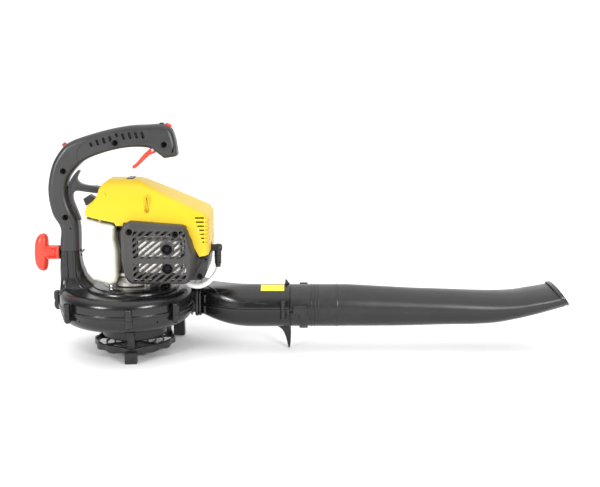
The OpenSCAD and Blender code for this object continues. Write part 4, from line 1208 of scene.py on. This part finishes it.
def side_slots():
    """Four slanting slots on the sloping right side."""
    slots = []
    for i in range(4):
        x, z = 105.5 + 3.4 * i, 232 - 8.6 * i
        slots.append(prism("slot", capsule((x, z), (x + 7.5, z - 11), 1.5), GRILLE_FACE - 1,
                           GRILLE_FACE + 18))
    return join("slots", slots)


def sloped(obj):
    """Leans the right side of the muffler cover away from its face."""
    for vertex in obj.data.vertices:
        x, depth = vertex.co.x / MM, (GRILLE_BACK - vertex.co.y / MM) / (GRILLE_BACK - GRILLE_FACE)
        vertex.co.x -= 9 * MM * min(1, max(0, depth)) * min(1, max(0, (x - 96) / 20))
    return obj


def build_muffler_cover():
    outline = fillet([(8, 139, 12), (108, 139, 8), (115, 147, 8), (122, 190, 20), (106, 236, 8), (98, 239, 8),
                      (11, 246, 8), (-1, 240, 8), (-5, 226, 12), (-5, 180, 30), (0, 150, 12)], 7, 8)
    shell = sloped(prism("muffler_cover_fine", outline, GRILLE_FACE, GRILLE_BACK, 7, 0.4, steps=6))
    hollow = prism("hollow", inset(counter_clockwise(outline), WALL), GRILLE_FACE + WALL, GRILLE_BACK + 1,
                   5, 0, steps=5)
    cut(shell, sloped(hollow))
    bosses = [prism("boss", circle((x, z), 6), GRILLE_FACE + 1.2, GRILLE_BACK) for x, z in GRILLE_SCREWS]
    add(shell, *bosses)
    cut(shell, *[grille_slots(bank) for bank in GRILLE_BANKS], side_slots())
    add(shell, *[prism("eye", circle(c, 11.4, 40), GRILLE_FACE + 0.5, GRILLE_FACE + 3.5, 0.6)
                 for c in MUFFLER_BOLTS])
    cut(shell, *[prism("hole", circle(c, 9, 40), GRILLE_FACE - 2, GRILLE_FACE + 8) for c in MUFFLER_BOLTS])
    add(shell, *[prism("rim", circle(c, 7.2, 32), GRILLE_FACE, GRILLE_FACE + 9, 0.5) for c in GRILLE_SCREWS])
    cut(shell, *[prism("recess", circle(c, 5.6), GRILLE_FACE - 1, GRILLE_FACE + 8) for c in GRILLE_SCREWS])
    cut(shell, *[prism("hole", circle(c, SCREW_HOLE, 16), GRILLE_FACE - 1, GRILLE_BACK + 1)
                 for c in GRILLE_SCREWS])
    # Where the top cover laps over
    lap = [(-100, 247), (-18, 240.6), (-18, 235), (-2, 235), (-2, 241.4), (98.4, 230.2), (123.6, 182),
           (160, 186), (160, 300), (-100, 300)]
    cut(shell, prism("lap", lap, -61.4, GRILLE_BACK + 2))
    piece(refine(shell, 0.5), "grille_grey", "muffler_cover")
    # Painted shade: a dark sheet round the muffler, put where the inside of the cover lies in shade, seen
    # through the slots
    sheet = prism("painted_shade_sheet", fillet(box_outline((0, 143), (101, 237)), 5), -51.6, -50.4)
    cut(sheet, prism("opening", fillet(box_outline((14, 149), (101.5, 221)), 5), -60, -40))
    piece(refine(sheet, 0), "black_satin")


def build_cowl():
    outline = fillet([(100, 139), (124, 139, 5), (131, 144, 5), (135, 155, 8), (COVER_END, 183), (122, 181),
                      (112, 196), (100, 218)], 1.5)
    inside = fillet([(90, 141.6), (123, 141.6, 4), (129, 146, 4), (132.4, 156, 6), (136.5, 186), (136.5, 230),
                     (90, 230)], 1)
    cowl = prism("engine_cowl_fine", outline, -COWL_HALF, COWL_HALF, 6, steps=5)
    cut(cowl, prism("hollow", inside, 2.6 - COWL_HALF, COWL_HALF - 2.6, 4))
    cut(cowl, rod("plug_hole", 11, 125, 160, (0, PLUG_Z), "x", 32))
    add(cowl, prism("boss", circle(COWL_SCREW, 6.5), -50.6, -44, 1))
    cut(cowl, prism("recess", circle(COWL_SCREW, 5), -53, -45.6),
        prism("hole", circle(COWL_SCREW, SCREW_HOLE, 16), -53, -40))
    panel = prism("panel", fillet(box_outline((44, 142), (101, 228)), 4), 44, 50, 0.5, 2)
    cut(panel, prism("hollow", fillet(box_outline((46.5, 144.6), (102, 240)), 3), 40, 47.4))
    louvres = [prism("louvre", capsule((55, z), (91, z), 2), 40, 60) for z in range(154, 220, 9)]
    cut(panel, join("louvres", louvres))
    add(cowl, panel)
    piece(refine(cowl, 0.5), "black_satin", "engine_cowl", material="cowl_grey")


build_muffler_cover()
build_cowl()


# ---------------------------------------------------------------- screws

def cross_screw(x, z, face, length, radius=4.2):
    """A pan head screw with a cross recess, driven along +Y from face."""
    head = lathe("screw", [(0, face), (radius * 0.55, face + 0.15), (radius * 0.9, face + 0.8),
                           (radius, face + 1.6), (radius, face + 2.6), (2, face + 2.6), (2, face + length),
                           (0, face + length)], (x, z), "y", 28)
    cut(head, prism("cross", box_outline((x - 2.2, z - 0.55), (x + 2.2, z + 0.55)), face - 1, face + 1.5),
        prism("cross", box_outline((x - 0.55, z - 2.2), (x + 0.55, z + 2.2)), face - 1, face + 1.5))
    return turned(head, 20 * ((x * 7) % 5), "Y", (x, 0, z))


HANDLE_SCREWS = ((63, 368), (-20, 371), (-110, 323), (-110, 243))


def build_screws():
    handle = [cross_screw(x, z, -12, 24) for x, z in HANDLE_SCREWS]
    piece(refine(join("handle_screws_fine", handle), 0.15), "black_steel", "handle_screws")
    cover = [cross_screw(x, z, GRILLE_FACE + 6.4, 18) for x, z in GRILLE_SCREWS]
    piece(refine(cross_screw(*COVER_SCREW, -50.6, 8, 3.4), 0.15), "black_steel", material="cover_yellow")
    cover.append(cross_screw(*COWL_SCREW, -47.6, 6, 3.8))
    piece(refine(join("cover_screws_fine", cover), 0.15), "black_steel", "cover_screws")


build_screws()


# ---------------------------------------------------------------- fuel tank

TANK_OUTLINE = [(-62, 142, 12), (-30, 131.5, 8), (-20, 136, 8), (-16, 146, 6), (-14, 190, 20), (-19, 212, 10),
                (-18, 236, 4), (-38, 239, 4), (-67, 248, 4), (-75, 242, 4), (-74, 224, 20), (-69, 163, 40)]

# The space that the crankcase, the cylinder and its flange take, as radius and height
ENGINE_ROOM = [(0, 90), (49, 90), (49, 152), (37, 153), (37, 220.7), (42, 221.4), (42, 270), (0, 270)]


def build_tank():
    tank = soft_prism("fuel_tank_fine", TANK_OUTLINE, -57, -6, 9, 4)
    cut(tank, lathe("case_room", ENGINE_ROOM, count=96))
    add(tank, lathe("neck", [(10, -9), (12, -9), (12, 2.4), (11.4, 3), (10, 3)], (-56, 170), "y", 40,
                    wrap=True))
    # Seam of the two moulded halves
    seam = prism("seam", inset(counter_clockwise(fillet(TANK_OUTLINE, 8)), -0.7), -33.2, -31.8, 0.4)
    add(tank, cut(seam, lathe("room", ENGINE_ROOM, count=96)))
    piece(refine(tank, 0.3), "tank_white", "fuel_tank")


build_tank()


# ---------------------------------------------------------------- handle

HANDLE_INNER = [(-89, 170), (-90, 184), (-89, 216), (-91, 236), (-102.5, 260), (-108, 286), (-103, 310),
                (-88, 329), (-70, 343), (-34, 356), (3, 363), (36, 362), (51, 353), (62, 344)]
HANDLE_OUTER = [(85, 348), (82, 374), (75, 394), (60, 402), (32, 401), (4, 399.5), (-32, 393), (-72, 382),
                (-96, 373), (-112, 361), (-130, 332), (-139, 290), (-134, 250), (-121, 224), (-122.5, 200),
                (-123, 184), (-123, 170)]
HANDLE_HALF = 17
SWITCH_PLACE, SWITCH_LEAN = (70, 0, 397), 24
GRIP_PANEL = [(-86, 346), (-85.5, 355), (-82, 363), (-75, 370), (-66, 376.5), (-56, 381), (-44, 384.4),
              (-28, 388), (-8, 391), (14, 394), (25, 394.4), (31, 388), (30, 376), (24, 355), (0, 350),
              (-70, 330)]
GRIP_SLOTS = 9
OVER_SCREW = 4


def handle_outline():
    inner = curve(HANDLE_INNER, 5)
    outer = curve(HANDLE_OUTER, 5)
    return inner[:-1] + fillet_end(inner[-1], outer[0]) + outer[1:]


def fillet_end(inner_end, outer_start):
    """The two rounded corners at the front of the handle."""
    corners = fillet([(51, 353), (*inner_end, 4), (*outer_start, 4), (82, 374)], 0.01)
    return [p for p in corners if p.y < 352.5]


def handle_half(name, low, high, edge_low, edge_high):
    half = prism(name, handle_outline(), low, high, edge_low, edge_high, steps=7)
    cut(half, block("below", (-140, -30, 150), (-70, 30, 184.25), 0, corner=0),
        block("trigger_slot", (20, -4.5, 338), (54, 4.5, 372), 0, corner=0.5))
    pocket = block("switch_pocket", (58, -4.5, 389), (79, 4.5, 409), 0, corner=0.5)
    return cut(half, turned(pocket, SWITCH_LEAN, "Y", SWITCH_PLACE))


def grip_slots(grow, shift, low, high):
    """Short slanting slots, or the beads beside them, along the middle of the grip."""
    inner, outer = curve(HANDLE_INNER, 5), curve(HANDLE_OUTER, 5)
    upper = [p for p in outer if p.y > 362][::-1]
    lower = [p for p in inner if p.y > 330]
    made = []
    for i in range(GRIP_SLOTS):
        x = -60.5 + 11.0 * i
        z = 0.5 * (height_at(upper, x) + height_at(lower, x)) + 2
        reach = 2.8 + 0.12 * i
        lift = 0
        # The first one is short, and one makes room for a screw
        if i == 0:
            reach = 1.6
        elif i == OVER_SCREW:
            reach, lift = 1.4, 4
        ends = [(x + shift - 0.33 * s * reach, z + lift + 0.94 * s * reach) for s in (-1, 1)]
        made.append(prism("slot", capsule(ends[0], ends[1], grow), low, high, 0.5))
    return made


def build_handle():
    near = handle_half("handle_near", -HANDLE_HALF, -0.15, 9, 0.5)
    cut(near, prism("panel", fillet(GRIP_PANEL, 5), -30, -HANDLE_HALF + 1.1, 0, 0.5))
    beads = grip_slots(1.1, 4.2, -HANDLE_HALF + 0.3, -HANDLE_HALF + 2)
    add(near, join("beads", beads))
    cut(near, join("slots", grip_slots(2.4, 0, -HANDLE_HALF - 3, -HANDLE_HALF + 7)))
    rims = [prism("rim", circle(c, 7, 32), -HANDLE_HALF - 0.1, -HANDLE_HALF + 3, 0.6) for c in HANDLE_SCREWS]
    add(near, join("rims", rims))
    cut(near, *[prism("recess", circle(c, 5.4, 28), -HANDLE_HALF - 1, -HANDLE_HALF + 6.5)
                for c in HANDLE_SCREWS])
    cut(near, prism("pin_hole", circle((-102, 224), 1.6, 16), -HANDLE_HALF - 1, -HANDLE_HALF + 4))
    piece(refine(near, 0.5), "handle_grey", "handle_left")
    far = handle_half("handle_far", 0.15, HANDLE_HALF, 0.5, 9)
    cut(far, prism("panel", fillet(GRIP_PANEL, 5), HANDLE_HALF - 1.1, 30, 0.5, 0))
    cut(far, join("slots", grip_slots(1.35, 0, HANDLE_HALF - 4, HANDLE_HALF + 3)))
    cut(far, block("cable_hole", (-120, 5, 284), (-94, 13, 298), 0, corner=2))
    piece(refine(far, 0.5), "handle_grey", "handle_right")
    ridge = prism("handle_ridge", fillet([(52, 399), (55.5, 404.6), (61, 404.2), (66, 398)], 1), -6, 6, 1.5)
    piece(refine(ridge, 0.3), "handle_grey")


build_handle()


# ---------------------------------------------------------------- support bracket

BRACKET_OUTER = [(-88, 236), (-92, 243), (-101, 261), (-105.4, 275), (-106.6, 288), (-103, 302), (-96, 314),
                 (-87.5, 323.5)]
BRACKET_UPPER = [(-84, 322), (-89, 312), (-89.5, 306), (-81, 299), (-55, 294.5), (-37.4, 292)]
BRACKET_LOWER = [(-37.4, 281), (-62, 284), (-80, 286.5), (-91, 287.5), (-98, 283), (-98.5, 272), (-93.4, 256),
                 (-86.6, 236.5)]


def build_bracket():
    """The Y-shaped arm between the handle and the top of the filter box."""
    outline = curve(BRACKET_OUTER, 5) + curve(BRACKET_UPPER, 5) + curve(BRACKET_LOWER, 5)
    arm = prism("support_bracket_fine", outline, -6, 6, 1)
    rib = prism("rib", curve([(-103.6, 276), (-104.2, 288), (-100.6, 301), (-94.6, 311.6)], 6)
                + curve([(-92.6, 310.4), (-98.4, 300), (-101.8, 288), (-101.4, 276.6)], 6), -6.9, 6.9, 0.5)
    web = curve([(-94, 293), (-84, 292.5), (-70, 290.5), (-52, 288)], 6)
    add(arm, rib)
    for side in (-1, 1):
        add(arm, tube("web", [(p.x, side * 6, p.y) for p in web], 1.3, 10))
    piece(refine(arm, 0.3), "black_satin", "support_bracket", material="handle_grey")


build_bracket()


# ---------------------------------------------------------------- controls

TRIGGER_PIVOT = (43, 359)
LOCK_PIVOT = (-104, 352)
LOCK_LEAN = -38


def build_trigger():
    blade = prism("trigger_fine", fillet([(38, 361, 2), (26, 351), (14, 337), (5, 329.5, 2), (7.5, 325, 2),
                                          (13, 328), (25, 339), (36, 349), (47, 353.4, 2), (48, 360, 2)], 5),
                  -3.6, 3.6, 1.5)
    hub = lathe("hub", [(2.6, -3.6), (5.8, -3.6), (6.2, -3.2), (6.2, 3.2), (5.8, 3.6), (2.6, 3.6)],
                TRIGGER_PIVOT, "y", 32, wrap=True)
    cut(blade, rod("bore", 4, -6, 6, TRIGGER_PIVOT, "y", 32))
    piece(refine(add(blade, hub), 0.3), "red_plastic", "throttle_trigger", body="trigger")


def build_switch():
    button = prism("stop_switch_fine", fillet(box_outline((62.5, 391), (74, 402)), 2), -4, 4, 1.2)
    for k in range(3):
        add(button, block("ridge", (64.5 + 3 * k, -3, 401), (66 + 3 * k, 3, 402.8), 0.4))
    piece(refine(turned(button, SWITCH_LEAN, "Y", SWITCH_PLACE), 0.2), "red_plastic", "stop_switch",
          body="switch")


def build_lock():
    lever = lathe("throttle_lock_fine", [(0, 14.5), (3, 14.5), (3, 17.3), (9.4, 17.3), (10, 18),
                                          (10, 21), (9, 22), (0, 22)], LOCK_PIVOT, "y", 40)
    parts = [prism("arm", fillet(box_outline((-108, 356), (-100, 372)), 2.5), 17.6, 21.6, 0.8)]
    parts += [block("ridge", (-107, 17.6, 364 + 2.4 * k), (-101, 22.2, 365 + 2.4 * k), 0.3) for k in range(3)]
    for part in parts:
        add(lever, turned(part, LOCK_LEAN, "Y", (LOCK_PIVOT[0], 0, LOCK_PIVOT[1])))
    piece(refine(lever, 0.3), "red_plastic", "throttle_lock", body="lock_lever")


build_trigger()
build_switch()
build_lock()


# ---------------------------------------------------------------- starter grip and rope

def build_starter_grip():
    """A T grip: a fat bar bulging away from the machine, on a ribbed neck."""
    rings = []
    for k in range(33):
        t = k / 32
        z = -34 + 68 * t
        end = max(0.0, 1 - ((2 * t - 1) ** 2) ** 2.2)
        half_y = 12 * end ** 0.5
        reach = 13.5 * end ** 0.5
        bulge = 4 * (1 - (2 * t - 1) ** 2)
        ring = []
        for m in range(32):
            angle = 2 * math.pi * m / 32
            c = math.cos(angle)
            ring.append((-154.8 - bulge * (1 if c < 0 else 0.2) + reach * (0.72 if c > 0 else 1) * c * 0.9,
                         half_y * math.sin(angle), GRIP_Z + z))
        rings.append(ring)
    grip = turned(skin("starter_grip_fine", rings), 3, "Y", (-158, 0, GRIP_Z))
    neck = lathe("neck", [(3, -155), (12, -155), (11, -146), (9.6, -140), (9.6, -134), (11, -132),
                          (12.3, -130.6), (12.3, -126.4), (11.9, -126), (11, -126), (11, -128.4),
                          (3, -128.4)], (0, GRIP_Z), "x", 48, wrap=True)
    fins = [block("fin", (-152, -7, GRIP_Z + z), (-130, 7, GRIP_Z + z + 3.4), 1.2) for z in (-11.5, 8.1)]
    ribs = [lathe("rib", [(9, x - 1), (11, x - 0.7), (11.3, x), (11, x + 0.7), (9, x + 1)], (0, GRIP_Z),
                  "x", 48, wrap=True) for x in (-144, -139, -134)]
    add(grip, neck, *fins, *ribs)
    cut(grip, rod("bore", 2.2, -160, -120, (0, GRIP_Z), "x", 16))
    piece(refine(grip, 0.6), "red_plastic", "starter_grip", body="grip")


def build_rope():
    """The rope runs from the pulley to the grip."""
    path = curve([(-6, 25, 234), (-24, 25, 234), (-46, 24, 232.5), (-60, 18, 219), (-72, 13, 201),
                  (-82, 9, 186), (-92, 5, 177), (-102, 2, 175.5), (-112, 0, 178), (-127, 0, GRIP_Z)], 6)
    rope = refine(tube("starter_rope_fine", path, 1.8, 14), 0)
    rope.data.materials.append(MATERIALS["rope_white"])
    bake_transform(rope)
    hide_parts("starter_rope")


build_starter_grip()
build_rope()


# ---------------------------------------------------------------- plug boot and lead

LEG_AXIS = (150, 0)


def build_boot():
    """A rubber elbow over the plug, ribbed below."""
    head = lathe("plug_boot_fine", [(5, 126), (7, 126), (7.4, 127), (7.4, 129.4), (6.4, 130.2), (6.3, 146),
                                    (7, 149), (7.2, 152), (6.6, 155.4), (5, 157.4), (2.6, 158), (0, 158)],
                 (0, PLUG_Z), "x", 40)
    leg = lathe("leg", [(0, 152.2), (3.9, 152.2), (4.6, 153), (4.9, 157), (5.6, 163), (6, 170), (6.2, 176),
                        (6.2, 190), (0, 190)], LEG_AXIS, "z", 36)
    add(head, leg)
    for z in (172, 168, 164, 160):
        profile = [(4, z - 1.1), (6.1, z - 0.7), (6.5, z), (6.1, z + 0.7), (4, z + 1.1)]
        add(head, lathe("rib", profile, LEG_AXIS, "z", 36, wrap=True))
    cut(head, rod("bore", 4.4, 150, 158, LEG_AXIS, count=20),
        lathe("plug_room", [(0, 120), (5.6, 120), (5.6, 141), (3.1, 141.1), (3.1, 147), (0, 147)],
              (0, PLUG_Z), "x", 32))
    piece(refine(head, 0.4), "boot_rubber", "plug_boot")


def build_lead():
    path = curve([(66, 0, 134), (73, 0, 133.6), (82, -5, 131), (91, -9, 127), (100, -12, 123),
                  (110, -13, 120.5), (121, -12, 121), (132, -9, 126), (142, -4, 136), (149, -1, 147),
                  (150, 0, 157)], 8)
    lead = tube("ht_lead_fine", path, 4.3, 20)
    piece(refine(lead, 0), "lead_white", "ht_lead")


build_boot()
build_lead()


# ---------------------------------------------------------------- muffler

def build_muffler():
    """Two pressed steel shells with a rolled seam, beads and a flange."""
    body = prism("muffler_fine", fillet(box_outline((20, 154), (96, 216)), 8), -70, -38, 5, steps=5)
    seam = prism("seam", fillet(box_outline((16, 151), (99, 219)), 9), -56.5, -53, 1)
    add(body, seam)
    for z in (178, 187):
        add(body, prism("bead", capsule((30, z), (58, z), 2), -71.2, -68, 0.9))
    cut(body, rod("outlet", 5, -80, -60, (30, 160), "y", 32))
    cut(body, *[prism("bolt_hole", circle(c, 3.1, 24), -80, -30) for c in MUFFLER_BOLTS])
    piece(refine(body, 0.4), "muffler_steel", "muffler")
    bolts = []
    for x, z in MUFFLER_BOLTS:
        profile = [(0, -70.5), (9.6, -70.5), (9.6, -71.6), (3, -71.6), (3, -22), (0, -22)]
        head = lathe("head", [(0, -75), (4.6, -75), (5.5, -74.2), (5.5, -70.6), (0, -70.6)], (x, z), "y", 6)
        bolts.append(add(lathe("bolt", profile, (x, z), "y", 32), head))
    bolts = join("muffler_bolts_fine", bolts)
    piece(refine(bolts, 0.3), "black_steel", "muffler_bolts")


build_muffler()


# ---------------------------------------------------------------- nodes that keep their shape

SOFTENED = {
    "housing_screws": 0.4, "impeller": 0.5, "shaft_nuts": 0.5, "crankcase": 1.0, "engine_bolts": 0.5,
    "cylinder": 0.6, "spark_plug": 0.4, "ignition_coil": 0.6, "flywheel": 0.5, "starter_housing": 1.0,
    "rope_guide": 0.5, "intake_spacer": 0.6, "carburettor": 1.0, "throttle_arm": 0.3, "air_filter_box": 1.2,
    "choke_knob": 1.2, "fuel_cap": 0.7, "muffler_gasket": 0.2,
}
OTHER_LOOK = {"housing_screws": "black_steel"}


def body_of(node):
    return next(name for name, members in frame["record"]["behaviour"]["bodies"].items() if node in members)


for name, cad_node in nodes.items():
    if name in SOFTENED:
        piece(softened(name, SOFTENED[name]), slot_of[name], name, body=body_of(name),
              material=OTHER_LOOK.get(name))
    else:
        cad_node.data.materials.clear()
        cad_node.data.materials.append(MATERIALS[slot_of[name]])


# ---------------------------------------------------------------- floor and light

def build_floor():
    material, tree, shader = new_material("studio_floor")
    tree.links.new(mixed(tree, noise(tree, 400), (0.90, 0.90, 0.90), (0.88, 0.88, 0.88)),
                   shader.inputs["Base Color"])
    shader.inputs["Roughness"].default_value = 0.9
    bm = bmesh.new()
    bmesh.ops.create_grid(bm, x_segments=1, y_segments=1, size=30)
    floor = from_bmesh("studio_floor", bm)
    floor.data.materials.append(material)


def area_light(name, place, target, size, size_y, power):
    data = bpy.data.lights.new(name, "AREA")
    data.shape = "RECTANGLE"
    data.size = size
    data.size_y = size_y
    data.energy = power
    light = bpy.data.objects.new(name, data)
    bpy.context.scene.collection.objects.link(light)
    aim(light, place, target)


def build_world():
    """A pale studio: brightest overhead, bright behind the machine, dimmer in front and at the sides."""
    world = bpy.data.worlds.new("studio")
    world.use_nodes = True
    tree = world.node_tree
    tree.nodes.clear()
    place = tree.nodes.new("ShaderNodeTexCoord")
    split = tree.nodes.new("ShaderNodeSeparateXYZ")
    tree.links.new(place.outputs["Generated"], split.inputs["Vector"])
    behind = remap(tree, split.outputs["Y"], -0.3, 0.5, 0.5, 1.7)
    sideways = maths(tree, "ABSOLUTE", split.outputs["X"], 0)
    beside = maths(tree, "MULTIPLY", behind, remap(tree, sideways, 0.45, 0.95, 1.0, 0.45))
    overhead = remap(tree, split.outputs["Z"], 0.4, 0.85, 0.0, 2.4)
    background = tree.nodes.new("ShaderNodeBackground")
    output = tree.nodes.new("ShaderNodeOutputWorld")
    tree.links.new(maths(tree, "MAXIMUM", beside, overhead), background.inputs["Strength"])
    tree.links.new(background.outputs["Background"], output.inputs["Surface"])
    bpy.context.scene.world = world


LIGHT_TARGET = (0, 0, 0.1)


def softbox(name, azimuth, elevation, distance, size, size_y, power):
    """A soft light round the machine; azimuth 0 is in front, positive to the right."""
    turn, lift = math.radians(azimuth), math.radians(elevation)
    way = Vector((math.sin(turn) * math.cos(lift), -math.cos(turn) * math.cos(lift), math.sin(lift)))
    area_light(name, Vector(LIGHT_TARGET) + way * distance, LIGHT_TARGET, size, size_y, power)


def build_light():
    softbox("left_softbox", -40, 19, 1.7, 0.5, 0.26, 17)
    softbox("right_softbox", 40, 19, 1.7, 0.5, 0.26, 17)
    view = bpy.context.scene.view_settings
    view.view_transform = "Standard"
    view.look = "None"


build_floor()
build_world()
build_light()
